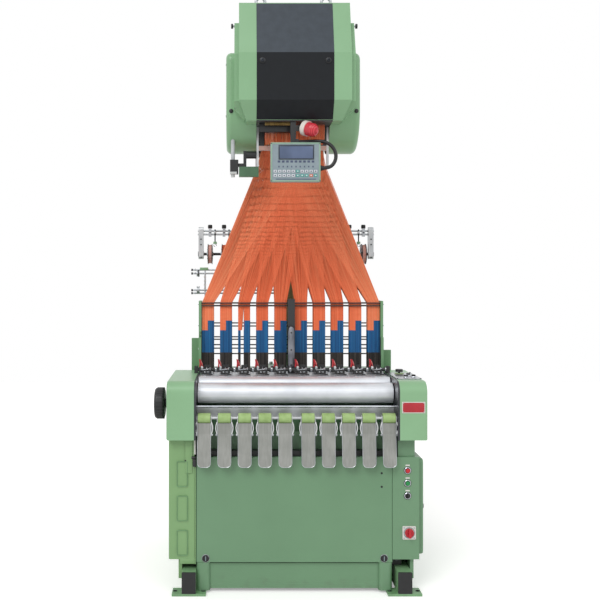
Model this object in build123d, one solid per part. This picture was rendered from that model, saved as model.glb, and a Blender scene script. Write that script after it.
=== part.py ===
# Needle loom for ten narrow tapes, with a jacquard head on a rear column.
# Millimetres. X runs across the machine, Y from front to back, Z up from the floor.
# The drawing frame has X = 0 on the middle post and Y = 0 on the front of the gear housings.
# At the end all pieces move so that the origin is at the middle of the box, on the floor.

import math
import os
from build123d import *

# Ten tapes, five each side of the middle post
lanes_per_side = 5
first_lane = 48.8
lane_pitch = 86.0
ribbon_width = 57.0
bay_margin = 5.7

# Heights: the table above the floor, and the rest above or below it
table_height = 880.0
waist_drop = 222.0
slot_drop = 56.0
slot_opening = 35.0
recess_rise = 19.0
trough_drop = 92.0
housing_rise = 25.0
comber_rise = 346.0
harness_height = 811.0

# Depths behind the front of the gear housings
panel_front = 40.0
panel_thickness = 20.0
core_front = 110.0
trough_depth = 130.0
case_front_depth = 300.0
body_back = 900.0
housing_depth = 480.0
beam_back = 940.0

# Feet and lower body
foot_plate_thickness = 10.0
foot_beam_height = 91.0
foot_beam_edge = 4.0
sole_height = 29.0
case_lift = 14.0
foot_beam_width = 60.0
foot_plate_width = 144.0
foot_plate_depth = 75.0
foot_hole_offset = 60.0
foot_hole_radius = 7.0
corner_post_width = 59.0
corner_post_depth = 60.0
corner_post_radius = 16.0
kick_panel_low = 15.0
kick_panel_high = 123.0
kick_panel_thickness = 3.0
panel_edge = 3.0
side_frame_thickness = 32.0
left_case_width = 118.0
right_case_width = 50.0
right_case_setback = 10.0
case_edge = 10.0
skirt_low = 56.0
skirt_thickness = 15.0
skirt_gap = 2.0
panel_gap = 17.0
pad_rows = 3
pad_margin = 19.0
pad_gap = 41.5
pad_inset = 37.0
pad_width = 43.0
pad_thickness = 3.0
pad_corner = 6.0
rear_panel_margin = 40.0
rear_panel_thickness = 3.0
cabinet_width = 114.0
cabinet_drop = 78.0
cabinet_face = 38.0
cabinet_face_thickness = 12.0
side_door_bulge = 23.0
side_door_inset = 12.0
side_door_radius = 18.0
side_door_edge = 8.0
knob_radius = 14.0
knob_height = 6.0
knob_inset = 40.0
knob_right_inset = 36.0
knob_rise = 18.0

# Gear housings, side plates and rollers
housing_width = 117.0
housing_radius = 48.0
housing_edge = 8.0
side_plate_thickness = 8.0
side_plate_front = 60.0
roller_end_gap = 3.0
roller_edge = 2.0
journal_gap = 0.3
running_gap = 0.05
takeoff_radius = 44.5
takeoff_depth = 125.0
takeoff_drop = 63.0
takeoff_journal = 12.0
press_radius = 30.0
press_drop = 30.0
press_journal = 10.0
nip_gap = 1.0
guide_bar_radius = 5.0
guide_bar_depth = 75.0
guide_bar_drop = 115.0
handwheel_radius = 66.5
handwheel_width = 52.0
handwheel_rim = 14.0
handwheel_dish = 12.0
handwheel_back = 8.0
handwheel_hub = 20.0
handwheel_gap = 6.0
handwheel_depth = 115.0
handwheel_drop = 105.0
wheel_shaft_radius = 12.0
wheel_shaft_length = 24.0

# Tape guide rollers and chutes
guide_roller_radius = 21.0
guide_roller_width = 54.0
guide_roller_depth = 30.0
guide_roller_drop = 40.0
axle_radius = 6.0
ear_radius = 12.0
ear_thickness = 3.0
ear_drop = 65.0
ear_strut_low = 8.0
ear_strut_high = 34.0
chute_thickness = 3.0
chute_top_drop = 20.5
chute_length = 140.0
chute_reach = 30.0
chute_tip_radius = 18.0
back_plate_thickness = 4.0

# Weaving table and needle bar
table_gap = 22.1
table_thickness = 20.0
table_back_gap = 44.0
needle_bar_radius = 8.0
needle_bar_back_gap = 86.0
needle_bar_rise = 16.0
bearing_width = 16.0
bearing_half = 15.0
head_block_width = 44.0
head_block_depth = 36.0
head_step_width = 28.0
head_step_gap = 4.0
head_step_rise = 20.0
needle_offset = 33.0
clamp_half_width = 5.0
clamp_half = 12.0
clip_half_depth = 6.0
clip_height = 36.0
clip_lean = 4.0
clip_width = 7.0

# Harness, from the springs up to the comber board
harness_back_gap = 15.0
harness_thickness = 50.0
spring_bar_thickness = 25.0
spring_length = 87.0
short_heald = 105.0
long_heald = 151.0
comber_spacing = 13.0
comber_rod_radius = 3.0
comber_gap = 2.0
post_width = 12.0
post_clearance = 1.7
post_front_reach = 40.0
post_back_reach = 70.0
post_rise = 10.0
stay_width = 14.0
stay_drop = 161.0
rear_plate_gap = 33.0
rear_plate_thickness = 12.0
left_plate_width = 37.0
left_plate_drop = 169.0
right_plate_width = 48.0
right_plate_drop = 226.0
harness_rod_gap = 15.0
harness_rod_radius = 3.0
harness_rod_drops = (98.0, 113.0, 165.0, 177.0, 203.0, 220.0, 246.0)
middle_post_width = 33.0
middle_post_depth = 14.0
middle_post_reach = 70.0
middle_post_rise = 20.0
middle_rod_radius = 13.0
middle_rod_drops = (107.0, 257.0)
middle_rod_flat = 20.0

# Fan of harness cords, from the comber board to the hooks.
# Each level: share of the height, of the closing-in to the hooks, and of the deepening
fan_levels = [
    (0.0, 0.0, 0.0),
    (0.115, 0.173, 0.06),
    (0.436, 0.5275, 0.3),
    (0.746, 0.885, 0.57),
    (0.908, 0.965, 0.79),
    (1.0, 1.0, 1.0),
]
hook_field_half = 148.0
hook_field_depth = 180.0
bundle_gap = 2.0

# Rear column
column_width = 120.0
column_depth = 160.0
column_front = 650.0
column_corner = 12.0
flange_rim = 40.0
flange_thickness = 20.0
yoke_height = 47.0
yoke_half_width = 165.0
yoke_reach = 90.0
yoke_lip = 30.0
yoke_slope = 50.0

# Jacquard head
head_half_width = 245.0
head_front = 96.0
head_back = 750.0
head_waist_rise = 79.0
head_crease_rise = 285.0
head_height = 523.0
head_top_lean = 74.0
head_base_lean = 60.0
head_corner = 34.0
black_panel_half_width = 168.0
black_panel_thickness = 4.0
black_panel_proud = 1.5
black_panel_margin = 4.0
head_side_thickness = 20.0
head_side_drop = 86.0
head_side_inset = 26.0
head_side_rise = 12.0
head_side_corner = 42.0
head_side_waist = 20.0
side_cover_thickness = 38.0
side_cover_front = 242.0
side_cover_width = 362.0
side_cover_rise = 44.0
side_cover_drop = 107.0
side_cover_inner = 166.0
side_cover_edge = 24.0
side_cover_corner = 40.0
eye_ring_radius = 20.0
eye_wire_radius = 7.0
eye_collar_radius = 14.0
eye_collar_height = 4.0
eye_across = 148.0
eye_depth = 260.0
hook_frame_half_width = 154.0
hook_post_outer = 152.0
hook_post_depth = 18.0
hook_frame_wall = 22.0
hook_frame_front = 300.0
hook_frame_back = 550.0
hook_board_thickness = 27.0
thread_bar_half = 165.0
thread_bar_drop = 89.0
thread_bar_height = 20.0
hanger_width = 10.0
hanger_length = 95.0

# Operator terminal, beacon and cable
terminal_half_width = 108.0
terminal_height = 170.0
terminal_drop = 107.0
terminal_front = 90.0
terminal_thickness = 35.0
terminal_radius = 6.0
terminal_edge = 2.0
screen_half_width = 70.0
screen_height = 48.0
screen_drop = 20.0
screen_depth = 2.0
arm_width = 24.0
arm_thickness = 6.0
arm_depth = 162.0
arm_left = -18.0
bracket_half_width = 30.0
bracket_low = 60.0
bracket_height = 60.0
beacon_across = 40.0
beacon_depth = 150.0
beacon_drop = 33.0
beacon_aim = (0.72, -0.62, -0.3)
beacon_base_length = 26.0
beacon_base_radius = 34.0
beacon_base_edge = 6.0
beacon_dome_radius = 30.0
beacon_dome_length = 50.0
beacon_stem_radius = 9.0
beacon_stem_length = 30.0
beacon_plate_gap = 8.0
beacon_plate_low = 12.0
beacon_plate_high = 14.0
cable_radius = 8.0
cable_port_rise = 61.0
gland_length = 12.0
gland_half = 11.0

# Cable route from its port in the terminal's side: across, back and up
cable_route = [(0.0, 0.0, 0.0), (28.0, 0.0, 0.0), (54.0, 1.0, 11.0), (70.0, 3.0, 41.0), (67.0, 6.0, 75.0),
               (48.0, 10.0, 103.0), (18.0, 17.0, 119.0), (-16.0, 27.0, 122.0), (-44.0, 44.0, 123.0),
               (-66.0, 57.5, 124.0)]

# Drive linkage under the head's left cover
drive_out = 41.0
drive_in = 3.0
drive_drop = 46.0
drive_rod_radius = 9.0
drive_rod_offset = 6.0
drive_rod_lap = 60.0
drive_motor_radius = 17.0
drive_motor_length = 46.0
drive_motor_drop = 40.0
link_width = 14.0
link_half_depth = 8.0
link_height = 15.0
bracket_half_depth = 13.0
rod_end_half_depth = 18.0
rod_end_rise = 13.0
rod_end_height = 64.0
rod_end_corner = 5.0

# Weft feed behind the column
feed_reach = 65.0
feed_rise = 348.0
feed_rod_spacing = 18.0
feed_rod_radius = 5.0
feed_shaft_drop = 103.0
feed_shaft_radius = 7.0
feed_overhang = 30.0
feed_plate_width = 26.0
feed_plate_depth = 40.0
feed_plate_corner = 15.0
feed_plate_below = 26.0
feed_plate_above = 20.0
feed_clamp_half_width = 7.0
feed_clamp_half_depth = 15.0
feed_clamp_margin = 12.0
feed_mount_half_width = 18.0
clamp_knob_radius = 10.0
clamp_knob_height = 20.0
feeder_count = 12
feeder_left_margin = 60.0
feeder_right_margin = 51.0
feeder_radius = 53.5
feeder_width = 24.0
feeder_flange = 3.0
feeder_flange_rise = 7.0

# Guide arm for the weft yarns, left of the column
arm_rises = (43.0, 58.0, 142.0, 160.0)
arm_back_gap = 50.0
arm_overhang = 25.0
arm_strap_inset = 37.0
arm_strap_thickness = 8.0
arm_strap_half_depth = 9.0
arm_strap_margin = 12.0
arm_rod_radius = 4.0
arm_pulley_inset = 24.0
arm_pulley_width = 14.0
arm_groove_width = 4.0
arm_groove_depth = 4.0
high_pulley_radius = 16.0
low_pulley_radius = 20.0

# Controls; the shares are of the cabinet's height
button_radius = 9.0
button_stroke = 2.5
button_stand = 6.0
button_inset = 64.0
red_button_share = 0.869
green_button_share = 0.745
selector_share = 0.622
selector_stand = 5.0
selector_lift = 1.0
selector_bar = (5.0, 8.0)
switch_inset = 70.5
switch_share = 0.261
switch_plate_side = 57.0
switch_plate_thickness = 3.0
switch_plate_corner = 4.0
switch_knob_radius = 19.0
switch_knob_stand = 8.0
switch_knob_lift = 3.3
switch_bar = (10.0, 12.0)
bar_inset = 1.0
desk_inset = 2.0
desk_outset = 7.0
desk_front = 85.0
desk_back_gap = 5.0
desk_thickness = 4.0
desk_corner = 6.0
mushroom_radius = 17.0
mushroom_stand = 12.0
mushroom_lift = 8.0
mushroom_offset = (50.0, 40.0)
desk_button_offsets = [(54.0, 65.0), (89.0, 75.0), (78.0, 135.0)]
stem_radius = 4.0
stem_length = 8.0
stem_pocket = 12.0

# Places across that follow from the sizes above
lanes = [side * (first_lane + lane_pitch * k) for side in (-1, 1) for k in range(lanes_per_side)]
lanes.sort()
bay_half = first_lane + lane_pitch * (lanes_per_side - 1) + ribbon_width / 2 + bay_margin
housing_inner = bay_half + side_plate_thickness
housing_outer = housing_inner + housing_width
foot_across = bay_half + foot_beam_width / 2
frame_outer = bay_half + side_frame_thickness
left_outer = bay_half + left_case_width
right_outer = bay_half + right_case_width + side_frame_thickness
panel_right = bay_half - panel_gap
cabinet_outer = panel_right + cabinet_width
post_inner = lanes[-1] + ribbon_width / 2 + post_clearance
arm_right = arm_left + arm_width
button_across = panel_right + button_inset
switch_across = panel_right + switch_inset
desk_low = housing_inner + desk_inset
desk_high = housing_outer - desk_outset
drive_left = -head_half_width - drive_out
drive_right = -head_half_width - drive_in
drive_motor_inner = -thread_bar_half - drive_motor_length
feed_half_width = bay_half + feed_overhang
feeder_first = -feed_half_width + feeder_left_margin
feeder_pitch = (2 * feed_half_width - feeder_left_margin - feeder_right_margin) / (feeder_count - 1)
arm_reach = -feed_half_width - arm_overhang
arm_strap = -feed_half_width + arm_strap_inset

# Heights that follow
beam_top = foot_plate_thickness + foot_beam_height
sole_top = beam_top + sole_height
case_low = sole_top + case_lift
waist_height = table_height - waist_drop
slot_high = waist_height - slot_drop
slot_low = slot_high - slot_opening
recess_high = waist_height + recess_rise
cabinet_top = waist_height - cabinet_drop
trough_height = table_height - trough_drop
housing_top = table_height + housing_rise
table_top = table_height + table_thickness
pad_height = (cabinet_top - case_low - 2 * pad_margin - (pad_rows - 1) * pad_gap) / pad_rows
takeoff_height = housing_top - takeoff_drop
press_height = housing_top - press_drop
guide_bar_height = housing_top - guide_bar_drop
handwheel_height = housing_top - handwheel_drop
guide_roller_height = trough_height - guide_roller_drop
ear_low = guide_roller_height - ear_drop
chute_top = guide_roller_height - chute_top_drop
chute_low = ear_low - chute_length
needle_bar_height = housing_top + needle_bar_rise
spring_bar_top = table_height + spring_bar_thickness
spring_top = spring_bar_top + spring_length
heald_top_left = spring_top + short_heald
heald_top_right = spring_top + long_heald
comber_height = table_height + comber_rise
harness_post_top = comber_height + post_rise
stay_top = comber_height - stay_drop
head_base = comber_height + harness_height
head_waist_low = head_base + head_waist_rise
head_crease = head_base + head_crease_rise
head_top = head_base + head_height
side_cover_top = head_crease + side_cover_rise
side_cover_low = head_base - side_cover_drop
hook_low = head_base - hook_board_thickness
thread_bar_top = head_base - thread_bar_drop
hanger_low = thread_bar_top - hanger_length
terminal_high = head_base - terminal_drop
terminal_low = terminal_high - terminal_height
cable_port_height = terminal_low + cable_port_rise
drive_low = hanger_low - drive_drop
drive_motor_height = thread_bar_top - drive_motor_drop
feed_rod_low = comber_height + feed_rise
feed_rod_high = feed_rod_low + feed_rod_spacing
feed_shaft_height = feed_rod_low - feed_shaft_drop
arm_heights = [comber_height + rise for rise in arm_rises]
cabinet_height = cabinet_top - case_low
red_button_height = case_low + red_button_share * cabinet_height
green_button_height = case_low + green_button_share * cabinet_height
selector_height = case_low + selector_share * cabinet_height
switch_height = case_low + switch_share * cabinet_height

# Depths that follow
panel_back = panel_front + panel_thickness
case_step = panel_front + case_front_depth
terminal_back = terminal_front + terminal_thickness
press_rise = press_height - takeoff_height
press_depth = takeoff_depth + math.sqrt((takeoff_radius + press_radius + nip_gap) ** 2 - press_rise ** 2)
table_front = press_depth + press_radius + table_gap
table_back = housing_depth - table_back_gap
needle_bar_depth = table_back - needle_bar_back_gap
harness_depth = housing_depth - harness_back_gap
harness_post_front = harness_depth - post_front_reach
harness_post_back = harness_depth + post_back_reach
middle_post_front = harness_depth - middle_post_reach
column_back = column_front + column_depth
feed_depth = column_back + feed_reach
arm_line = column_front + arm_back_gap
chute_low_depth = guide_roller_depth - chute_reach
hook_middle = (hook_frame_front + hook_frame_back) / 2
desk_back = needle_bar_depth - bearing_half - desk_back_gap
mushroom_place = (housing_inner + mushroom_offset[0], desk_back - mushroom_offset[1])
desk_buttons = [(housing_inner + x, desk_front + y) for x, y in desk_button_offsets]


def block(x_low, x_high, y_low, y_high, z_low, z_high):
    solid = Box(x_high - x_low, y_high - y_low, z_high - z_low)
    return Pos((x_low + x_high) / 2, (y_low + y_high) / 2, (z_low + z_high) / 2) * solid


def rod_across(x_low, x_high, y, z, radius):
    return Pos((x_low + x_high) / 2, y, z) * Rot(0, 90, 0) * Cylinder(radius, x_high - x_low)


def rod_deep(y_low, y_high, x, z, radius):
    return Pos(x, (y_low + y_high) / 2, z) * Rot(90, 0, 0) * Cylinder(radius, y_high - y_low)


def rod_up(z_low, z_high, x, y, radius):
    return Pos(x, y, (z_low + z_high) / 2) * Cylinder(radius, z_high - z_low)


def side_profile(points, x_low, x_high):
    face = Pos(x_low, 0, 0) * (Plane.YZ * make_face(Polyline(*points, close=True)))
    return extrude(face, amount=x_high - x_low)


def front_profile(points, y_low, y_high):
    face = Pos(0, y_low, 0) * (Plane.XZ * make_face(Polyline(*points, close=True)))
    return extrude(face, amount=y_low - y_high)


def other_side(shape):
    return mirror(shape, about=Plane.YZ)


def pair(shape):
    return Compound([shape, other_side(shape)])


def union(*shapes):
    whole = shapes[0]
    for shape in shapes[1:]:
        whole += shape
    return whole


def edges_along(shape, axis, test):
    return [edge for edge in shape.edges().filter_by(axis) if test(edge.center())]


def foot_beams():
    beam = block(bay_half, bay_half + foot_beam_width, 0, beam_back, foot_plate_thickness, beam_top)
    beam = fillet(beam.edges().filter_by(Axis.Y), foot_beam_edge)
    return Compound([beam, other_side(beam)])


def foot_plates():
    plates = []
    for side in (-1, 1):
        for y in (0, beam_back - foot_plate_depth):
            plate = block(-foot_plate_width / 2, foot_plate_width / 2, y, y + foot_plate_depth,
                          0, foot_plate_thickness)
            for offset in (-foot_hole_offset, foot_hole_offset):
                plate -= rod_up(-1, foot_plate_thickness + 1, offset, y + foot_plate_depth / 2,
                                foot_hole_radius)
            plates.append(Pos(side * foot_across, 0, 0) * plate)
    return Compound(plates)


def sole_frame():
    return block(-frame_outer, frame_outer, panel_front + corner_post_depth, body_back, beam_top, sole_top)


def corner_posts():
    posts = []
    for x_low, x_high in ((-bay_half, -bay_half + corner_post_width),
                          (panel_right - corner_post_width, panel_right)):
        post = block(x_low, x_high, panel_front, panel_front + corner_post_depth, foot_plate_thickness, sole_top)
        fronts = edges_along(post, Axis.Z, lambda c: c.Y < panel_front + 1)
        posts.append(fillet(fronts, corner_post_radius))
    return posts[0] + posts[1] + kick_panel()


def kick_panel():
    front = panel_front + corner_post_radius
    return block(-bay_half + corner_post_width, panel_right - corner_post_width,
                 front, front + kick_panel_thickness, kick_panel_low, kick_panel_high)


def front_panel():
    panel = block(-bay_half, panel_right, panel_front, panel_back, sole_top, cabinet_top)
    front = panel.faces().sort_by(Axis.Y)[0]
    return fillet(front.edges(), panel_edge)


def panel_knobs():
    knobs = []
    for x in (-bay_half + knob_inset, panel_right - knob_right_inset):
        knob = rod_deep(panel_front - knob_height, panel_front, x, sole_top + knob_rise, knob_radius)
        knobs.append(fillet(knob.edges().filter_by(GeomType.CIRCLE).sort_by(Axis.Y)[0], knob_height / 3))
    return Compound(knobs)


def machine_core():
    step = core_front + trough_depth
    points = [(core_front, sole_top), (core_front, trough_height), (step, trough_height),
              (step, table_height), (body_back, table_height), (body_back, sole_top)]
    return side_profile(points, -bay_half, bay_half)


def slot_bar():
    return block(-bay_half, bay_half, side_plate_front, core_front, slot_low, slot_high)


def recess_panel():
    return block(-bay_half, bay_half, core_front - back_plate_thickness, core_front, slot_high, recess_high)


def back_plate():
    return block(-bay_half, bay_half, core_front - back_plate_thickness, core_front,
                 recess_high, trough_height)


def side_frame():
    points = [(case_step, sole_top), (case_step, waist_height), (housing_depth, waist_height),
              (housing_depth, table_height), (body_back, table_height), (body_back, sole_top)]
    return side_profile(points, bay_half, frame_outer)


def case_skirt():
    inner = bay_half + foot_beam_width + skirt_gap
    return block(inner, inner + skirt_thickness, side_plate_front, body_back, skirt_low, case_low)


def left_gear_case():
    case = block(-left_outer, -housing_inner, panel_front, case_step, case_low, waist_height)
    case += block(-left_outer, -frame_outer, case_step, body_back, case_low, waist_height)
    case = fillet(edges_along(case, Axis.Z, lambda c: c.X < -left_outer + 1), case_edge)
    for row in range(pad_rows):
        low = case_low + pad_margin + row * (pad_height + pad_gap)
        x_low = -left_outer + pad_inset
        pad = block(x_low, x_low + pad_width, panel_front - pad_thickness, panel_front, low, low + pad_height)
        case += fillet(pad.edges().filter_by(Axis.Y), pad_corner)
    return case + other_side(case_skirt())


def right_side_case():
    case = block(housing_inner, right_outer, panel_front + right_case_setback, case_step,
                 cabinet_top, waist_height)
    case += block(frame_outer, right_outer, case_step, body_back, case_low, waist_height)
    case = fillet(edges_along(case, Axis.Z, lambda c: c.X > right_outer - 1), case_edge)
    return case + case_skirt()


def electrical_cabinet():
    back = cabinet_face + cabinet_face_thickness
    cabinet = block(panel_right, cabinet_outer, cabinet_face, back, case_low, cabinet_top)
    cabinet += block(housing_inner, cabinet_outer, back, case_step, case_low, cabinet_top)
    for x, z in ((button_across, red_button_height), (button_across, green_button_height),
                 (button_across, selector_height), (switch_across, switch_height)):
        cabinet -= rod_deep(cabinet_face - 1, cabinet_face + stem_pocket, x, z, stem_radius + running_gap)
    return cabinet


def cabinet_side_door():
    door = block(cabinet_outer, cabinet_outer + side_door_bulge,
                 cabinet_face + cabinet_face_thickness + side_door_inset, case_step - side_door_inset,
                 case_low + side_door_inset, cabinet_top - side_door_inset)
    door = fillet(door.edges().filter_by(Axis.X), side_door_radius)
    outer = door.faces().sort_by(Axis.X)[-1]
    return fillet(outer.edges(), side_door_edge)


def rear_panel():
    half = bay_half - rear_panel_margin
    return block(-half, half, body_back, body_back + rear_panel_thickness,
                 sole_top + rear_panel_margin, table_height - rear_panel_margin)


def housing_shape(x_low, x_high, front_low):
    solid = block(x_low, x_high, 0, housing_depth, front_low, housing_top)
    brow = edges_along(solid, Axis.X, lambda c: c.Y < 1 and c.Z > housing_top - 1)
    return fillet(brow, housing_radius)


def gear_housing():
    housing = housing_shape(housing_inner, housing_outer, waist_height)
    outer = housing.faces().sort_by(Axis.X)[-1]
    return fillet(outer.edges(), housing_edge)


def left_gear_housing():
    bore = rod_across(-housing_outer - 1, -housing_outer + wheel_shaft_length + 2, handwheel_depth,
                      handwheel_height, wheel_shaft_radius + running_gap)
    return other_side(gear_housing()) - bore


def right_gear_housing():
    housing = gear_housing()
    for x, y in desk_buttons + [mushroom_place]:
        housing -= rod_up(housing_top - stem_pocket, housing_top + 1, x, y, stem_radius + running_gap)
    return housing


def side_plate():
    plate = housing_shape(bay_half, housing_inner, waist_height)
    plate += block(bay_half, housing_inner, side_plate_front, case_step, sole_top, waist_height)
    for y, z, radius in ((takeoff_depth, takeoff_height, takeoff_journal),
                         (press_depth, press_height, press_journal)):
        plate -= rod_across(bay_half - 1, housing_inner + 1, y, z, radius + running_gap)
    return plate


def roller(y, z, radius, journal):
    barrel_half = bay_half - roller_end_gap
    barrel = rod_across(-barrel_half, barrel_half, y, z, radius)
    ends = [edge for edge in barrel.edges().filter_by(GeomType.CIRCLE)]
    barrel = fillet(ends, roller_edge)
    shaft_half = housing_inner - journal_gap
    return barrel + rod_across(-shaft_half, shaft_half, y, z, journal)


def guide_bar():
    return rod_across(-bay_half, bay_half, guide_bar_depth, guide_bar_height, guide_bar_radius)


def handwheel():
    x_face = -housing_outer - handwheel_gap
    x_rim = x_face - handwheel_width
    rim = rod_across(x_rim, x_face - handwheel_back, 0, 0, handwheel_radius)
    rim = fillet([edge for edge in rim.edges().filter_by(GeomType.CIRCLE)], handwheel_dish)
    hollow = rod_across(x_rim - 1, x_rim + handwheel_dish, 0, 0, handwheel_radius - handwheel_rim)
    hub = rod_across(x_rim + handwheel_dish / 2, x_face, 0, 0, handwheel_hub)
    shaft = rod_across(x_face, -housing_outer + wheel_shaft_length, 0, 0, wheel_shaft_radius)
    wheel = rim - hollow + hub + shaft
    return Pos(0, handwheel_depth, handwheel_height) * wheel


def roller_brackets():
    back = core_front - back_plate_thickness
    low = guide_roller_depth - ear_radius
    shape = rod_across(-bay_half, bay_half, guide_roller_depth, guide_roller_height, axle_radius)
    for lane in lanes:
        for side in (-1, 1):
            x_in = lane + side * ribbon_width / 2
            x_low, x_high = sorted((x_in, x_in + side * ear_thickness))
            shape += block(x_low, x_high, low, low + 2 * ear_radius, ear_low, guide_roller_height)
            shape += block(x_low, x_high, guide_roller_depth, back, 
                           ear_low + ear_strut_low, ear_low + ear_strut_high)
            shape += rod_across(x_low, x_high, guide_roller_depth, guide_roller_height, ear_radius)
    return shape


def guide_rollers():
    rollers = []
    for lane in lanes:
        half = guide_roller_width / 2
        body = rod_across(lane - half, lane + half, guide_roller_depth, guide_roller_height,
                          guide_roller_radius)
        body = fillet([edge for edge in body.edges().filter_by(GeomType.CIRCLE)], roller_edge)
        bore = rod_across(lane - half - 1, lane + half + 1, guide_roller_depth, guide_roller_height,
                          axle_radius + running_gap)
        rollers.append(body - bore)
    return Compound(rollers)


def tape_chutes():
    back = guide_roller_depth - ear_radius + chute_thickness
    front = back - chute_thickness
    drop = ear_low - chute_low
    reach = front - chute_low_depth
    lean = math.atan2(reach, drop)
    tip = (chute_low_depth + chute_thickness * math.cos(lean), chute_low - chute_thickness * math.sin(lean))
    inner_bend = ear_low - chute_thickness * math.tan(lean / 2)
    points = [(front, chute_top), (front, ear_low), (chute_low_depth, chute_low), tip,
              (back, inner_bend), (back, chute_top)]
    chute = side_profile(points, -ribbon_width / 2, ribbon_width / 2)
    tips = [edge for edge in chute.edges()
            if edge.center().Z < chute_low + 1 and edge.length < 2 * chute_thickness]
    chute = fillet(tips, chute_tip_radius)
    return Compound([Pos(lane, 0, 0) * chute for lane in lanes])


def weaving_table():
    return block(-bay_half, bay_half, table_front, table_back, table_height, table_top)


def needle_bar():
    half = housing_inner + bearing_width
    return rod_across(-half, half, needle_bar_depth, needle_bar_height, needle_bar_radius)


def bar_bearings():
    bearing = block(housing_inner, housing_inner + bearing_width, needle_bar_depth - bearing_half,
                    needle_bar_depth + bearing_half, housing_top, needle_bar_height + bearing_width)
    bearing -= needle_bar()
    return Compound([bearing, other_side(bearing)])


def weaving_heads():
    heads = []
    back = needle_bar_depth + head_block_depth / 2
    for lane in lanes:
        head = block(lane - head_block_width / 2, lane + head_block_width / 2,
                     needle_bar_depth - head_block_depth / 2, back, table_top, needle_bar_height)
        head += block(lane - head_step_width / 2, lane + head_step_width / 2,
                      needle_bar_depth + head_step_gap, back, table_top, needle_bar_height + head_step_rise)
        heads.append(head - needle_bar())
    return Compound(heads)


def needle_clamps():
    clamps = []
    for lane in lanes:
        x = lane - needle_offset
        clamp = block(x - clamp_half_width, x + clamp_half_width,
                      needle_bar_depth - clamp_half, needle_bar_depth + clamp_half,
                      needle_bar_height - clamp_half, needle_bar_height + clamp_half)
        clamps.append(clamp - needle_bar())
    return Compound(clamps)


def needle_clips():
    clips = []
    low = needle_bar_height + clamp_half
    middle = low + clip_height / 2
    foot = -clip_width / 2
    for lane in lanes:
        points = [(foot, low), (foot + clip_width, low), (foot + clip_width + clip_lean / 2, middle),
                  (foot + clip_lean, low + clip_height), (foot, low + clip_height), (foot + clip_lean / 2, middle)]
        clip = front_profile(points, needle_bar_depth - clip_half_depth, needle_bar_depth + clip_half_depth)
        clips.append(Pos(lane - needle_offset, 0, 0) * clip)
    return Compound(clips)


def spring_bar():
    return block(-bay_half, bay_half, harness_depth - harness_thickness / 2,
                 harness_depth + harness_thickness / 2, table_height, spring_bar_top)


def harness_post():
    return block(post_inner, post_inner + post_width, harness_post_front,
                 harness_post_back, housing_top, harness_post_top)


def harness_stay():
    return block(post_inner, post_inner + post_width,
                 harness_post_front - stay_width, harness_post_front, housing_top, stay_top)


def rear_stay_plates():
    x_low = post_inner + post_width
    back = harness_post_back - rear_plate_gap
    front = back - rear_plate_thickness
    right = block(x_low, x_low + right_plate_width, front, back, table_height, comber_height - right_plate_drop)
    left = block(-x_low - left_plate_width, -x_low, front, back, table_height, comber_height - left_plate_drop)
    return Compound([left, right])


def comber_bars():
    half = post_inner
    reach = harness_thickness / 2 + comber_gap + comber_rod_radius
    bars = []
    for y in (harness_depth - reach, harness_depth + reach):
        for z in (comber_height, comber_height - comber_spacing):
            bars.append(rod_across(-half, half, y, z, comber_rod_radius))
    return Compound(bars)


def harness_rods():
    half = post_inner
    y = harness_post_back - harness_rod_gap
    return Compound([rod_across(-half, half, y, comber_height - drop, harness_rod_radius)
                     for drop in harness_rod_drops])


def ribbon(lane, x_low, x_high, z_low, z_high):
    return block(lane + x_low, lane + x_high, harness_depth - harness_thickness / 2,
                 harness_depth + harness_thickness / 2, z_low, z_high)


def return_springs():
    half = ribbon_width / 2
    return Compound([ribbon(lane, -half, half, spring_bar_top, spring_top) for lane in lanes])


def healds():
    half = ribbon_width / 2
    groups = []
    for lane in lanes:
        group = ribbon(lane, -half, 0, spring_top, heald_top_left)
        groups.append(group + ribbon(lane, 0, half, spring_top, heald_top_right))
    return Compound(groups)


def fan_section(lane, level):
    rise, closing, deepening = level
    outer = lanes[-1] + lane_pitch / 2
    spread = 1 - closing * (1 - hook_field_half / outer)
    gap = bundle_gap if rise else lane_pitch - ribbon_width
    height = comber_height + rise * (hook_low - comber_height)
    thickness = harness_thickness + deepening * (hook_field_depth - harness_thickness)
    depth = harness_depth + deepening * (hook_middle - harness_depth)
    return Pos(lane * spread, depth, height) * Rectangle(lane_pitch * spread - gap, thickness)


def harness_fan():
    half = ribbon_width / 2
    bundles = []
    for lane in lanes:
        bundle = loft([fan_section(lane, level) for level in fan_levels], ruled=True)
        bundle += ribbon(lane, -half, 0, heald_top_left, comber_height)
        bundle += ribbon(lane, 0, half, heald_top_right, comber_height)
        bundles.append(bundle)
    return Compound(bundles)


def middle_post():
    half = middle_post_width / 2
    return block(-half, half, middle_post_front, middle_post_front + middle_post_depth,
                 table_top, comber_height + middle_post_rise)


def middle_rod():
    high, low = [comber_height - drop for drop in middle_rod_drops]
    rod = rod_up(low, high, 0, middle_post_front, middle_rod_radius)
    return rod - block(-middle_rod_flat, middle_rod_flat, middle_post_front, middle_post_front + middle_rod_flat,
                       low - 1, high + 1)


def rear_column():
    half = column_width / 2
    column = block(-half, half, column_front, column_back, table_height, head_base - yoke_height)
    column = fillet(column.edges().filter_by(Axis.Z), column_corner)
    flange = block(-half - flange_rim, half + flange_rim, column_front - flange_rim, column_back + flange_rim,
                   table_height, table_height + flange_thickness)
    return column + flange


def column_yoke():
    low = head_base - yoke_height
    front = column_front - yoke_reach
    points = [(front, head_base), (front, low + yoke_lip), (front + yoke_slope, low),
              (column_back, low), (column_back, head_base)]
    return side_profile(points, -yoke_half_width, yoke_half_width)


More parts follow.
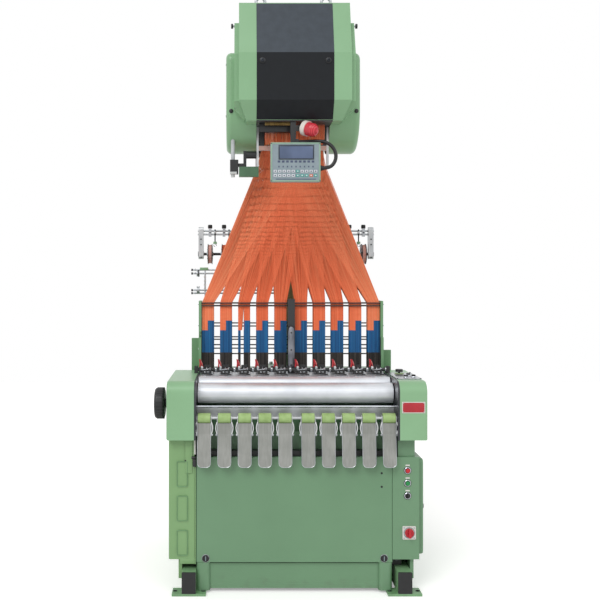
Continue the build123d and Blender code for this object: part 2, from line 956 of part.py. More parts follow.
def head_outline(inset, top, bottom):
    base_front = head_front + head_base_lean
    base_back = head_back - head_base_lean
    top_front = head_front + head_top_lean
    top_back = head_back - head_top_lean
    return [(base_front + inset, bottom), (head_front + inset, head_waist_low),
            (head_front + inset, head_crease), (top_front + inset / 2, top),
            (top_back - inset / 2, top), (head_back - inset, head_crease),
            (head_back - inset, head_waist_low), (base_back - inset, bottom)]


def head_block():
    body = side_profile(head_outline(0, head_top, head_base), -head_half_width, head_half_width)
    front = front_profile([(-head_half_width, head_top), (-head_half_width, head_waist_low),
                           (-head_half_width + head_corner, head_base),
                           (head_half_width - head_corner, head_base),
                           (head_half_width, head_waist_low), (head_half_width, head_top)],
                          head_front - 1, head_back + 1)
    return body & front


def black_panel_form(depth):
    base_front = head_front + head_base_lean
    top_front = head_front + head_top_lean
    low, high = head_base + black_panel_margin, head_top - black_panel_margin
    low_front = base_front - black_panel_margin * head_base_lean / head_waist_rise
    high_front = top_front - black_panel_margin * head_top_lean / (head_top - head_crease)
    proud = black_panel_proud
    points = [(low_front - proud, low), (head_front - proud, head_waist_low),
              (head_front - proud, head_crease), (high_front - proud, high),
              (high_front + depth, high), (head_front + depth, head_crease),
              (head_front + depth, head_waist_low), (low_front + depth, low)]
    return side_profile(points, -black_panel_half_width, black_panel_half_width)


def head_shell():
    return head_block() - black_panel_form(black_panel_thickness)


def head_front_panel():
    return black_panel_form(black_panel_thickness)


def head_side_plate():
    top = head_top - head_side_drop
    low = head_base + head_side_rise
    plate = side_profile(head_outline(head_side_inset, top, low), head_half_width - head_corner,
                         head_half_width + head_side_thickness)
    outer = head_half_width + head_side_thickness
    front = front_profile([(0, top), (0, low), (outer - head_side_corner, low),
                           (outer, head_waist_low - head_side_waist),
                           (outer, top)], head_front, head_back)
    return (plate & front) - head_block()


def side_cover():
    radius = side_cover_width / 2
    middle = side_cover_front + radius
    outer = head_half_width + head_side_thickness + side_cover_thickness
    cover = block(side_cover_inner, outer, side_cover_front, side_cover_front + side_cover_width,
                  side_cover_low + radius, side_cover_top)
    cover = fillet(edges_along(cover, Axis.X, lambda c: c.Z > side_cover_top - 1), side_cover_corner)
    cover += rod_across(side_cover_inner, outer, middle, side_cover_low + radius, radius)
    rim = cover.faces().sort_by(Axis.X)[-1]
    cover = fillet(rim.edges(), side_cover_edge)
    return cover - head_block() - head_side_plate()


def lifting_eyes():
    eyes = []
    for side in (-1, 1):
        height = head_top + eye_ring_radius + eye_wire_radius + eye_collar_height
        ring = Pos(0, 0, height) * Rot(90, 0, 0) * Torus(eye_ring_radius, eye_wire_radius)
        collar = rod_up(head_top, height - eye_ring_radius, 0, 0, eye_collar_radius)
        eyes.append(Pos(side * eye_across, eye_depth, 0) * (ring + collar))
    return Compound(eyes)


def hook_frame():
    half = hook_frame_half_width
    low = thread_bar_top
    frame = block(-half, half, hook_frame_front, hook_frame_back, hook_low, head_base)
    for side in (-1, 1):
        x_low, x_high = sorted((side * hook_post_outer, side * (hook_post_outer - hook_frame_wall)))
        for y in (hook_frame_front, hook_frame_back - hook_post_depth):
            frame += block(x_low, x_high, y, y + hook_post_depth, low, hook_low)
    return frame


def thread_bars():
    low = thread_bar_top - thread_bar_height
    bars = []
    for y in (hook_frame_front, hook_frame_back - hook_post_depth):
        bar = block(-thread_bar_half, thread_bar_half, y, y + hook_post_depth, low, thread_bar_top)
        for side in (-1, 1):
            x_low, x_high = sorted((side * thread_bar_half, side * (thread_bar_half - hanger_width)))
            bar += block(x_low, x_high, y, y + hook_post_depth, hanger_low, head_base)
        bars.append(bar)
    return Compound(bars)


def cable_points():
    port = (terminal_half_width, terminal_front + terminal_thickness / 2, cable_port_height)
    points = [tuple(start + step for start, step in zip(port, offset)) for offset in cable_route]
    return points + [(arm_right + gland_length, points[-1][1], points[-1][2])]


def terminal_arm():
    low = terminal_low + bracket_low
    arm = block(arm_left, arm_right, arm_depth, arm_depth + arm_thickness, low, head_base)
    x, y, z = cable_points()[-1]
    gland = block(arm_right, x, y - gland_half, y + gland_half, z - gland_half, z + gland_half)
    bracket = block(-bracket_half_width, bracket_half_width, terminal_back, arm_depth, low, low + bracket_height)
    return arm + gland + bracket


def operator_terminal():
    case = block(-terminal_half_width, terminal_half_width, terminal_front, terminal_back,
                 terminal_low, terminal_high)
    case = fillet(case.edges().filter_by(Axis.Y), terminal_radius)
    front = case.faces().sort_by(Axis.Y)[0]
    case = fillet(front.edges(), terminal_edge)
    screen_top = terminal_high - screen_drop
    screen = block(-screen_half_width, screen_half_width, terminal_front - 1, terminal_front + screen_depth,
                   screen_top - screen_height, screen_top)
    return case - screen


def beacon_frame():
    return Plane(origin=(beacon_across, beacon_depth, head_base - beacon_drop), z_dir=beacon_aim)


def beacon_base():
    base = Pos(0, 0, beacon_base_length / 2) * Cylinder(beacon_base_radius, beacon_base_length)
    base = fillet(base.edges().filter_by(GeomType.CIRCLE).sort_by(Axis.Z)[0], beacon_base_edge)
    return beacon_frame() * base


def beacon_dome():
    radius = beacon_dome_radius
    straight = beacon_dome_length - radius
    dome = Pos(0, 0, beacon_base_length + straight / 2) * Cylinder(radius, straight)
    ball = Pos(0, 0, beacon_base_length + straight) * Sphere(radius)
    room = Pos(0, 0, beacon_base_length + beacon_dome_length / 2) * Box(4 * radius, 4 * radius, beacon_dome_length)
    return beacon_frame() * (dome + (ball & room))


def beacon_bracket():
    z = head_base - beacon_drop
    stem = beacon_frame() * (Pos(0, 0, -beacon_stem_length / 2) * Cylinder(beacon_stem_radius, beacon_stem_length))
    plate = block(arm_right, beacon_across - beacon_plate_gap, arm_depth, arm_depth + arm_thickness,
                  z - beacon_plate_low, z + beacon_plate_high)
    return stem + plate


def terminal_cable():
    points = cable_points()
    corners = [Vector(*point) for point in points]
    radii = []
    for before, corner, after in zip(corners, corners[1:], corners[2:]):
        turn = math.radians((corner - before).get_angle(after - corner))
        run = min((corner - before).length, (after - corner).length)
        radii.append(0.45 * run / math.tan(turn / 2))
    print("cable radii", [round(radius, 1) for radius in radii])
    path = FilletPolyline(*points, radius=radii)
    start = Plane(origin=points[0], z_dir=corners[1] - corners[0])
    tube = sweep(start * Circle(cable_radius), path=path)
    print("cable length", round(path.length, 1), "volume over section times length",
          round(tube.volume / (math.pi * cable_radius ** 2 * path.length), 4))
    return tube


def drive_middle():
    return hook_frame_front + hook_post_depth / 2


def drive_bracket():
    y = drive_middle()
    return block(drive_right + drive_in, -thread_bar_half + hanger_width,
                 y - bracket_half_depth, y + bracket_half_depth, drive_low, hanger_low)


def drive_link():
    y = drive_middle()
    front, back = y - link_half_depth, y + link_half_depth
    x_low = drive_motor_inner - link_width
    link = block(x_low, drive_motor_inner, front, back, hanger_low, drive_motor_height + drive_motor_radius)
    return link + block(drive_right, x_low, front, back, hanger_low, hanger_low + link_height)


def drive_motor():
    return rod_across(drive_motor_inner, -thread_bar_half, drive_middle(), drive_motor_height,
                      drive_motor_radius)


def drive_rod():
    x = (drive_left + drive_right) / 2 - drive_rod_offset
    rod = rod_up(drive_low - 1, side_cover_low + drive_rod_lap, x, drive_middle(), drive_rod_radius)
    return rod - other_side(side_cover())


def rod_end():
    y = drive_middle()
    low = drive_low + rod_end_rise
    end = block(drive_left, drive_right, y - rod_end_half_depth, y + rod_end_half_depth, low, low + rod_end_height)
    end = fillet(end.edges().filter_by(Axis.Z), rod_end_corner)
    x = (drive_left + drive_right) / 2 - drive_rod_offset
    return end - rod_up(drive_low, side_cover_low, x, y, drive_rod_radius)


def feed_rods():
    return Compound([rod_across(-feed_half_width, feed_half_width, feed_depth, z, feed_rod_radius)
                     for z in (feed_rod_low, feed_rod_high)])


def feed_end_plate():
    plate = block(feed_half_width - feed_plate_width, feed_half_width, feed_depth - feed_plate_depth / 2,
                  feed_depth + feed_plate_depth / 2,
                  feed_shaft_height - feed_plate_below, feed_rod_high + feed_plate_above)
    plate = fillet(plate.edges().filter_by(Axis.X), feed_plate_corner)
    for z in (feed_rod_low, feed_rod_high):
        plate -= rod_across(0, feed_half_width + 1, feed_depth, z, feed_rod_radius)
    return plate - rod_across(0, feed_half_width + 1, feed_depth, feed_shaft_height,
                              feed_shaft_radius + running_gap)


def feed_mount():
    half = feed_mount_half_width
    mount = block(-half, half, column_back, feed_depth + feed_clamp_half_depth,
                  feed_rod_low - feed_clamp_margin, feed_rod_high + feed_clamp_margin)
    for z in (feed_rod_low, feed_rod_high):
        mount -= rod_across(-half - 1, half + 1, feed_depth, z, feed_rod_radius)
    return mount


def feeder_places():
    return [feeder_first + feeder_pitch * k for k in range(feeder_count)]


def feeder_clamps():
    clamps = []
    for x in feeder_places():
        x_low, x_high = x - feed_clamp_half_width, x + feed_clamp_half_width
        clamp = block(x_low, x_high, feed_depth - feed_clamp_half_depth, feed_depth + feed_clamp_half_depth,
                      feed_rod_low - feed_clamp_margin, feed_rod_high + feed_clamp_margin)
        for z in (feed_rod_low, feed_rod_high):
            clamp -= rod_across(x_low - 1, x_high + 1, feed_depth, z, feed_rod_radius)
        clamps.append(clamp)
    return Compound(clamps)


def clamp_knobs():
    low = feed_rod_high + feed_clamp_margin
    return Compound([rod_up(low, low + clamp_knob_height, x, feed_depth, clamp_knob_radius)
                     for x in feeder_places()])


def feeder_shaft():
    return rod_across(-feed_half_width, feed_half_width, feed_depth, feed_shaft_height, feed_shaft_radius)


def feeder_wheels():
    wheels = []
    half = feeder_width / 2
    for x in feeder_places():
        drum = rod_across(x - half, x + half, feed_depth, feed_shaft_height,
                          feeder_radius - feeder_flange_rise)
        for x_low in (x - half, x + half - feeder_flange):
            drum += rod_across(x_low, x_low + feeder_flange, feed_depth, feed_shaft_height, feeder_radius)
        bore = rod_across(x - half - 1, x + half + 1, feed_depth, feed_shaft_height, feed_shaft_radius)
        wheels.append(drum - bore)
    return Compound(wheels)


def arm_rods():
    return Compound([rod_across(arm_reach, -column_width / 2, arm_line, z, arm_rod_radius) for z in arm_heights])


def arm_strap_plate():
    x_high = arm_strap + arm_strap_thickness
    strap = block(arm_strap, x_high, arm_line - arm_strap_half_depth, arm_line + arm_strap_half_depth,
                  arm_heights[0] - arm_strap_margin, arm_heights[-1] + arm_strap_margin)
    for z in arm_heights:
        strap -= rod_across(arm_strap - 1, x_high + 1, arm_line, z, arm_rod_radius)
    return strap


def arm_pulleys():
    x_low = arm_reach + arm_pulley_inset
    x_high = x_low + arm_pulley_width
    groove_low = (x_low + x_high - arm_groove_width) / 2
    groove_high = groove_low + arm_groove_width
    pulleys = []
    for z, radius in ((arm_heights[2], high_pulley_radius), (arm_heights[1], low_pulley_radius)):
        pulley = rod_across(x_low, x_high, arm_line, z, radius)
        ring = rod_across(groove_low, groove_high, arm_line, z, radius + 1)
        core = rod_across(groove_low - 1, groove_high + 1, arm_line, z, radius - arm_groove_depth)
        bore = rod_across(x_low - 1, x_high + 1, arm_line, z, arm_rod_radius)
        pulleys.append(pulley - (ring - core) - bore)
    return Compound(pulleys)


def button_frame(x, z):
    return Plane(origin=(x, cabinet_face, z), x_dir=(1, 0, 0), z_dir=(0, -1, 0))


def desk_frame(x, y):
    return Plane(origin=(x, y, housing_top + desk_thickness), x_dir=(1, 0, 0), z_dir=(0, 0, 1))


def push_cap(radius, height, lift, depth):
    cap = Pos(0, 0, lift + height / 2) * Cylinder(radius, height)
    cap = fillet(cap.edges().filter_by(GeomType.CIRCLE).sort_by(Axis.Z)[-1], height / 4)
    return cap + Pos(0, 0, (lift - depth) / 2) * Cylinder(stem_radius, lift + depth)


def front_button(z):
    return button_frame(button_across, z) * push_cap(button_radius, button_stand, button_stroke + 1, stem_length)


def selector_knob():
    top = selector_lift + selector_stand
    thickness, rise = selector_bar
    knob = push_cap(button_radius, selector_stand, selector_lift, stem_length)
    knob += Pos(0, 0, top + rise / 2) * Box(thickness, 2 * (button_radius - bar_inset), rise)
    return button_frame(button_across, selector_height) * knob


def switch_plate():
    plate = Pos(0, 0, switch_plate_thickness / 2) * Box(switch_plate_side, switch_plate_side, switch_plate_thickness)
    plate = fillet(plate.edges().filter_by(Axis.Z), switch_plate_corner)
    plate -= Cylinder(stem_radius + running_gap, 4 * switch_plate_thickness)
    return button_frame(switch_across, switch_height) * plate


def main_switch_knob():
    top = switch_knob_lift + switch_knob_stand
    thickness, rise = switch_bar
    knob = push_cap(switch_knob_radius, switch_knob_stand, switch_knob_lift, stem_length)
    knob += Pos(0, 0, top + rise / 2) * Box(thickness, 2 * (switch_knob_radius - bar_inset), rise)
    return button_frame(switch_across, switch_height) * knob


def control_desk():
    desk = block(desk_low, desk_high, desk_front, desk_back, housing_top, housing_top + desk_thickness)
    desk = fillet(desk.edges().filter_by(Axis.Z), desk_corner)
    for x, y in desk_buttons + [mushroom_place]:
        desk -= rod_up(housing_top - 1, housing_top + desk_thickness + 1, x, y, stem_radius + running_gap)
    return desk


def desk_button(place):
    return desk_frame(*place) * push_cap(button_radius, button_stand, button_stroke + 1, stem_length)


def mushroom_button():
    return desk_frame(*mushroom_place) * push_cap(mushroom_radius, mushroom_stand, mushroom_lift, stem_length)


# Every node of the loom by name
nodes = {
    "foot_plates": foot_plates(),
    "foot_beams": foot_beams(),
    "sole_frame": sole_frame(),
    "corner_posts": corner_posts(),
    "front_panel": front_panel(),
    "panel_knobs": panel_knobs(),
    "machine_core": union(machine_core(), rear_panel(), recess_panel()),
    "slot_bar": slot_bar(),
    "side_frames": pair(side_frame()),
    "left_gear_case": left_gear_case(),
    "right_side_case": right_side_case(),
    "electrical_cabinet": electrical_cabinet(),
    "cabinet_side_door": cabinet_side_door(),
    "gear_housing_left": left_gear_housing(),
    "gear_housing_right": right_gear_housing(),
    "side_plates": pair(side_plate()),
    "takeoff_roller": roller(takeoff_depth, takeoff_height, takeoff_radius, takeoff_journal),
    "press_roller": roller(press_depth, press_height, press_radius, press_journal),
    "guide_bar": guide_bar(),
    "handwheel": handwheel(),
    "roller_brackets": union(back_plate(), roller_brackets()),
    "guide_rollers": guide_rollers(),
    "tape_chutes": tape_chutes(),
    "weaving_table": weaving_table(),
    "needle_bar": union(needle_bar(), bar_bearings(), needle_clamps()),
    "weaving_heads": weaving_heads(),
    "needle_clips": needle_clips(),
    "harness_posts": union(pair(harness_post()), pair(harness_stay()), rear_stay_plates()),
    "harness_bars": Compound([comber_bars(), harness_rods()]),
    "return_springs": union(spring_bar(), return_springs()),
    "healds": healds(),
    "harness_fan": harness_fan(),
    "middle_post": union(middle_post(), middle_rod()),
    "rear_column": union(rear_column(), column_yoke()),
    "head_shell": union(head_shell(), head_side_plate(), other_side(head_side_plate())),
    "head_front_panel": head_front_panel(),
    "head_side_covers": pair(side_cover()),
    "lifting_eyes": lifting_eyes(),
    "hook_frame": hook_frame(),
    "thread_bars": thread_bars(),
    "terminal_arm": union(terminal_arm(), beacon_bracket()),
    "operator_terminal": operator_terminal(),
    "beacon": union(beacon_base(), beacon_dome()),
    "terminal_cable": terminal_cable(),
    "drive_link": union(drive_bracket(), drive_link(), drive_motor(), rod_end(), drive_rod()),
    "feed_rods": union(feed_rods(), feed_mount(), feeder_clamps(), clamp_knobs()),
    "feed_end_plates": pair(feed_end_plate()),
    "feeder_wheels": union(feeder_shaft(), feeder_wheels()),
    "guide_arm": union(arm_rods(), arm_strap_plate(), arm_pulleys()),
    "stop_button": front_button(red_button_height),
    "start_button": front_button(green_button_height),
    "selector_knob": selector_knob(),
    "switch_plate": switch_plate(),
    "main_switch_knob": main_switch_knob(),
    "control_desk": control_desk(),
    "mushroom_button": mushroom_button(),
}
for number, place in enumerate(desk_buttons, start=1):
    nodes[f"desk_button_{number}"] = desk_button(place)

# The origin is the middle of the whole loom's box, on the floor
whole = Compound(list(nodes.values())).bounding_box()
origin = Pos(-(whole.min.X + whole.max.X) / 2, -(whole.min.Y + whole.max.Y) / 2, -whole.min.Z)
print("origin shift", origin.position)
print("size", whole.size)

os.makedirs("parts", exist_ok=True)
for name, shape in nodes.items():
    export_step(origin * shape, f"parts/{name}.step")
print(len(nodes), "nodes")
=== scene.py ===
# Needle loom for ten narrow tapes under a jacquard head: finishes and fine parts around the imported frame.
import math
import random
from itertools import product
import bpy
from mathutils import Matrix, Vector


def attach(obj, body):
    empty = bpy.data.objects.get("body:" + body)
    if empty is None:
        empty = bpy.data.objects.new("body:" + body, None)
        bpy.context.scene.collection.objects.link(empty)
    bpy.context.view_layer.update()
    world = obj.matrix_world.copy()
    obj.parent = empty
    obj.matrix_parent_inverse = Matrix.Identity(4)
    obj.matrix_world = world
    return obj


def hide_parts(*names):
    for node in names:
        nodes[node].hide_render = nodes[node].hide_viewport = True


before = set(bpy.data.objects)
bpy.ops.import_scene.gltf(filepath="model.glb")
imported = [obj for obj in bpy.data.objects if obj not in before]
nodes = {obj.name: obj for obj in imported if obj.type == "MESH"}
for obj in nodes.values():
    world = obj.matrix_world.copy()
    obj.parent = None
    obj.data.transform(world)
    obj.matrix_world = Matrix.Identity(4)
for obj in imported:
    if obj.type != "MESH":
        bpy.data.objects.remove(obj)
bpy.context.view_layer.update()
bpy.ops.object.select_all(action='DESELECT')
print("frame loaded:", len(nodes), "nodes")

# The drawing has its zero on the middle post and on the front of the gear housings
drawingShift = Vector((0.029, -0.470, 0.0))


# A point of the drawing, in millimetres, as a place in the scene
def spot(x, y, z):
    return Vector((x, y, z)) / 1000 + drawingShift


# A colour written as sRGB hex, as the linear numbers that the shaders take
def linearColour(hexText):
    channels = [int(hexText[i:i + 2], 16) / 255 for i in (1, 3, 5)]
    return tuple(c / 12.92 if c <= 0.04045 else ((c + 0.055) / 1.055) ** 2.4 for c in channels) + (1.0,)


# Adds a shader node, or takes one that is there, and gives it settings, values and links; hex is a colour
def addNode(tree, kind, values=None, links=None, **settings):
    node = tree.nodes.new(kind) if isinstance(kind, str) else kind
    for name, value in settings.items():
        setattr(node, name, value)
    for name, value in (values or {}).items():
        node.inputs[name].default_value = linearColour(value) if isinstance(value, str) else value
    for name, source in (links or {}).items():
        isSocket = isinstance(source, bpy.types.NodeSocket)
        tree.links.new(source if isSocket else next(out for out in source.outputs if out.enabled),
                       node.inputs[name])
    return node


# A material with its shader's plain values set, and the object coordinates that its patterns read
def startMaterial(name, colour, roughness, metallic=0.0, **shaderValues):
    material = bpy.data.materials.new(name)
    material.use_nodes = True
    tree = material.node_tree
    values = {"Base Color": colour, "Roughness": roughness, "Metallic": metallic, **shaderValues}
    shader = addNode(tree, tree.nodes["Principled BSDF"], values)
    place = addNode(tree, "ShaderNodeTexCoord").outputs["Object"]
    return material, tree, shader, place


# Machine enamel, sprayed on sheet and castings: even colour, low sheen, a faint orange peel
def enamelOnSteel(name, colour, shade, roughness=0.34):
    material, tree, shader, place = startMaterial(name, colour, roughness, IOR=1.5,
                                                  **{"Coat Weight": 0.18, "Coat Roughness": 0.2})
    # cloudy film thickness about 300 mm across, then grime that gathers near the floor
    cloud = addNode(tree, "ShaderNodeTexNoise", {"Scale": 3.3, "Detail": 3.0, "Roughness": 0.55},
                    {"Vector": place})
    film = addNode(tree, "ShaderNodeMapRange", {"From Min": 0.32, "From Max": 0.72}, {"Value": cloud})
    coat = addNode(tree, "ShaderNodeMix", {6: shade, 7: colour}, {0: film}, data_type='RGBA')
    height = addNode(tree, "ShaderNodeSeparateXYZ", links={"Vector": place})
    nearFloor = addNode(tree, "ShaderNodeMapRange", {"From Min": 0.26, "From Max": 0.0},
                        {"Value": height.outputs["Z"]})
    smear = addNode(tree, "ShaderNodeTexNoise", {"Scale": 26.0, "Detail": 4.0}, {"Vector": place})
    grime = addNode(tree, "ShaderNodeMath", links={0: smear, 1: nearFloor}, operation='MULTIPLY')
    grimeEdge = addNode(tree, "ShaderNodeMapRange", {"From Min": 0.42, "From Max": 1.15}, {"Value": grime})
    dirty = addNode(tree, "ShaderNodeMix", {7: "#5E6B58"}, {0: grimeEdge, 6: coat}, data_type='RGBA')
    # orange peel, drawn about 5 mm across because the real 1 mm one is too fine to show
    peel = addNode(tree, "ShaderNodeTexNoise", {"Scale": 190.0, "Detail": 2.0}, {"Vector": place})
    scuff = addNode(tree, "ShaderNodeTexNoise", {"Scale": 60.0, "Detail": 5.0, "Roughness": 0.7},
                    {"Vector": place})
    sheen = addNode(tree, "ShaderNodeMapRange", {"To Min": roughness - 0.06, "To Max": roughness + 0.16},
                    {"Value": scuff})
    bump = addNode(tree, "ShaderNodeBump", {"Strength": 0.35, "Distance": 0.0003}, {"Height": peel})
    addNode(tree, shader, links={"Base Color": dirty, "Roughness": sheen, "Normal": bump})
    return material


# Bare or plated steel: grain is how often the brush lines repeat along each axis, few along the line
def brushedMetal(name, colour, shade, roughness, grain, metallic=1.0):
    material, tree, shader, place = startMaterial(name, colour, roughness, metallic)
    turned = addNode(tree, "ShaderNodeMapping", {"Scale": grain}, {"Vector": place})
    lines = addNode(tree, "ShaderNodeTexNoise", {"Scale": 1.0, "Detail": 4.0, "Roughness": 0.6},
                    {"Vector": turned})
    stain = addNode(tree, "ShaderNodeTexNoise", {"Scale": 14.0, "Detail": 3.0}, {"Vector": place})
    mixed = addNode(tree, "ShaderNodeMath", links={0: lines, 1: stain}, operation='MULTIPLY')
    mixedEdge = addNode(tree, "ShaderNodeMapRange", {"From Min": 0.12, "From Max": 0.38}, {"Value": mixed})
    tint = addNode(tree, "ShaderNodeMix", {6: shade, 7: colour}, {0: mixedEdge}, data_type='RGBA')
    span = {"To Min": max(0.05, roughness - 0.12), "To Max": roughness + 0.14}
    sheen = addNode(tree, "ShaderNodeMapRange", span, {"Value": lines})
    bump = addNode(tree, "ShaderNodeBump", {"Strength": 0.3, "Distance": 0.0002}, {"Height": lines})
    addNode(tree, shader, links={"Base Color": tint, "Roughness": sheen, "Normal": bump})
    return material


# Injection-moulded ABS or nylon: even colour with a fine spark grain and a little handling shine
def mouldedPlastic(name, colour, shade, roughness):
    material, tree, shader, place = startMaterial(name, colour, roughness, IOR=1.5)
    rubbed = addNode(tree, "ShaderNodeTexNoise", {"Scale": 35.0, "Detail": 3.0}, {"Vector": place})
    rubbedEdge = addNode(tree, "ShaderNodeMapRange", {"From Min": 0.3, "From Max": 0.7}, {"Value": rubbed})
    tint = addNode(tree, "ShaderNodeMix", {6: shade, 7: colour}, {0: rubbedEdge}, data_type='RGBA')
    sheen = addNode(tree, "ShaderNodeMapRange", {"To Min": roughness - 0.05, "To Max": roughness + 0.1},
                    {"Value": rubbed})
    grain = addNode(tree, "ShaderNodeTexNoise", {"Scale": 420.0, "Detail": 2.0}, {"Vector": place})
    bump = addNode(tree, "ShaderNodeBump", {"Strength": 0.4, "Distance": 0.00015}, {"Height": grain})
    addNode(tree, shader, links={"Base Color": tint, "Roughness": sheen, "Normal": bump})
    return material


# One paint with other colours in some boxes: each zone is a colour and {axis: (low, high)} in metres
def paintedInZones(name, colour, roughness, zones, metallic=0.0, **shaderValues):
    material, tree, shader, place = startMaterial(name, colour, roughness, metallic, **shaderValues)
    axes = addNode(tree, "ShaderNodeSeparateXYZ", links={"Vector": place})
    base = None
    for zoneColour, box in zones:
        mask = None
        for axis, (low, high) in box.items():
            for edge, step in ((low, 0.0005), (high, -0.0005)):
                if edge is None:
                    continue
                span = {"From Min": edge - step, "From Max": edge + step}
                inside = addNode(tree, "ShaderNodeMapRange", span, {"Value": axes.outputs[axis]})
                mask = inside if mask is None else addNode(tree, "ShaderNodeMath",
                                                           links={0: mask, 1: inside}, operation='MULTIPLY')
        values, links = {7: zoneColour}, {0: mask}
        if base is None:
            values[6] = colour
        else:
            links[6] = base
        base = addNode(tree, "ShaderNodeMix", values, links, data_type='RGBA')
    # patchy wear over every zone, a tenth darker at most
    cloud = addNode(tree, "ShaderNodeTexNoise", {"Scale": 30.0, "Detail": 4.0}, {"Vector": place})
    worn = addNode(tree, "ShaderNodeMapRange", {"From Min": 0.35, "From Max": 0.75, "To Max": 0.3},
                   {"Value": cloud})
    tint = addNode(tree, "ShaderNodeMix", {7: "#A8A8A4"}, {0: worn, 6: base}, data_type='RGBA',
                   blend_type='MULTIPLY')
    sheen = addNode(tree, "ShaderNodeMapRange", {"To Min": roughness - 0.06, "To Max": roughness + 0.12},
                    {"Value": cloud})
    bump = addNode(tree, "ShaderNodeBump", {"Strength": 0.3, "Distance": 0.0002}, {"Height": cloud})
    addNode(tree, shader, links={"Base Color": tint, "Roughness": sheen, "Normal": bump})
    return material


# flat doors and covers, a shade deeper
greenPanel = enamelOnSteel("green_enamel_panels", "#6C9270", "#678C6B")
greenCast = enamelOnSteel("green_enamel_castings", "#8AB58B", "#83AD83")      # housings and head
greenCase = enamelOnSteel("green_enamel_gear_case", "#7FA571", "#779C69")     # left case, warmer
greenFeet = enamelOnSteel("green_enamel_feet", "#7FA97C", "#6F9A6E", 0.42)
greenPosts = enamelOnSteel("green_enamel_posts", "#6F9A70", "#668F66", 0.4)
blackEnamel = enamelOnSteel("black_enamel", "#2A2C33", "#26272D", 0.3)        # satin black over steel
oxide = enamelOnSteel("black_oxide_steel", "#1E1F21", "#2A2A2B", 0.42)
# turned fine, blurs the room
rollerChrome = brushedMetal("ground_roller_chrome", "#E1E4E9", "#CDD1D7", 0.38, (1.5, 220.0, 220.0), 0.6)
bareSteel = brushedMetal("bare_plate_steel", "#C9CBCC", "#AEB1B3", 0.4, (90.0, 90.0, 20.0))
# ground across, so lines run round
chrome = brushedMetal("hard_chrome", "#D9DCE2", "#B9BDC6", 0.16, (2.0, 160.0, 160.0))
zinc = brushedMetal("zinc_plate", "#C6C9CC", "#9EA2A6", 0.3, (120.0, 120.0, 14.0))
deckSteel = brushedMetal("scraped_deck_steel", "#DFE2E5", "#B4B8BD", 0.34, (16.0, 130.0, 130.0), 0.6)
darkSteel = brushedMetal("blued_steel", "#3A3D42", "#26282B", 0.36, (110.0, 110.0, 12.0))
# grain down the tape
chuteSteel = brushedMetal("brushed_stainless_chute", "#9B9C98", "#898B86", 0.42, (130.0, 130.0, 9.0), 0.35)
limeRubber = mouldedPlastic("lime_polyurethane", "#A2BE7E", "#8DAA67", 0.55)
nylon = mouldedPlastic("black_nylon", "#1C1C1F", "#151517", 0.38)
redAbs = mouldedPlastic("red_abs", "#C62430", "#B01E29", 0.28)
greenAbs = mouldedPlastic("green_abs", "#1E8F4A", "#18803F", 0.28)
paleAbs = mouldedPlastic("pale_abs", "#D9D9D2", "#CDCDC6", 0.36)
greyAbs = mouldedPlastic("grey_abs", "#8E9CA3", "#84929A", 0.4)
cableRubber = mouldedPlastic("cable_pvc", "#141415", "#1C1C1D", 0.45)

# Beam ends dipped in black over the green, at the front and at the back
footBeamPaint = paintedInZones("beam_enamel_black_ends", "#7FA97C", 0.4, [
    ("#232325", {"Y": (None, -0.466)}), ("#232325", {"Y": (0.466, None)})])
# Linkage: black oxide links, a green arm below and bright pins at its left
linkagePaint = paintedInZones("linkage_black_and_green", "#232426", 0.4, [
    ("#4F7355", {"Z": (None, 1.8525), "X": (-0.217, None)}),
    ("#C9CCCB", {"Z": (None, 1.829), "X": (None, -0.2265)}),
    ("#C4C7CA", {"Z": (1.8845, None), "X": (None, -0.217)})])
# Head panel: satin black, greyer above its upper fold where it faces the light
headPanelPaint = paintedInZones("head_panel_black", "#1A1D21", 0.36, [("#454C54", {"Z": (2.322, None)})],
                                **{"Specular IOR Level": 0.22})
# Thread bars: zinc that mirrors the orange cords between the side plates
threadBarZinc = paintedInZones("thread_bar_zinc", "#D2D4D6", 0.34, [
    ("#C9A296", {"Z": (1.9285, 1.9475), "X": (-0.1255, 0.1835)})], 0.5)
# Roller brackets: zinc, with the back plate below the ears dark green: the green seen there, darkened as
# painted shade under the rollers
bracketZincShade = paintedInZones("bracket_zinc_painted_shade", "#C6C9CC", 0.32,
                             [("#46664A", {"Y": (-0.3665, None), "Z": (None, 0.742)})], 0.55)

# Beacon: pale cast base and a ribbed red lens, parted across the lamp's own slanting line
beaconAim = Vector((0.72, -0.62, -0.3)).normalized()
beaconParting = spot(40, 150, 2004).dot(beaconAim) + 0.026
beaconShell, beaconTree, beaconShader, beaconPlace = startMaterial("beacon_shell", "#D23440", 0.22)
along = addNode(beaconTree, "ShaderNodeVectorMath", {1: tuple(beaconAim)}, {0: beaconPlace},
                operation='DOT_PRODUCT')
# one rib in 7 mm
ribs = addNode(beaconTree, "ShaderNodeMath", {1: 900.0}, {0: along}, operation='MULTIPLY')
ribWave = addNode(beaconTree, "ShaderNodeMath", links={0: ribs}, operation='SINE')
ribTone = addNode(beaconTree, "ShaderNodeMapRange", {"From Min": -1.0, "From Max": 1.0}, {"Value": ribWave})
lens = addNode(beaconTree, "ShaderNodeMix", {6: "#B9202E", 7: "#DE4450"}, {0: ribTone}, data_type='RGBA')
partingSpan = {"From Min": beaconParting - 0.0004, "From Max": beaconParting + 0.0004}
parting = addNode(beaconTree, "ShaderNodeMapRange", partingSpan, {"Value": along})
shellColour = addNode(beaconTree, "ShaderNodeMix", {6: "#E6DFD6"}, {0: parting, 7: lens}, data_type='RGBA')
ribBump = addNode(beaconTree, "ShaderNodeBump", {"Strength": 0.4, "Distance": 0.0004}, {"Height": ribWave})
addNode(beaconTree, beaconShader, links={"Base Color": shellColour, "Normal": ribBump})

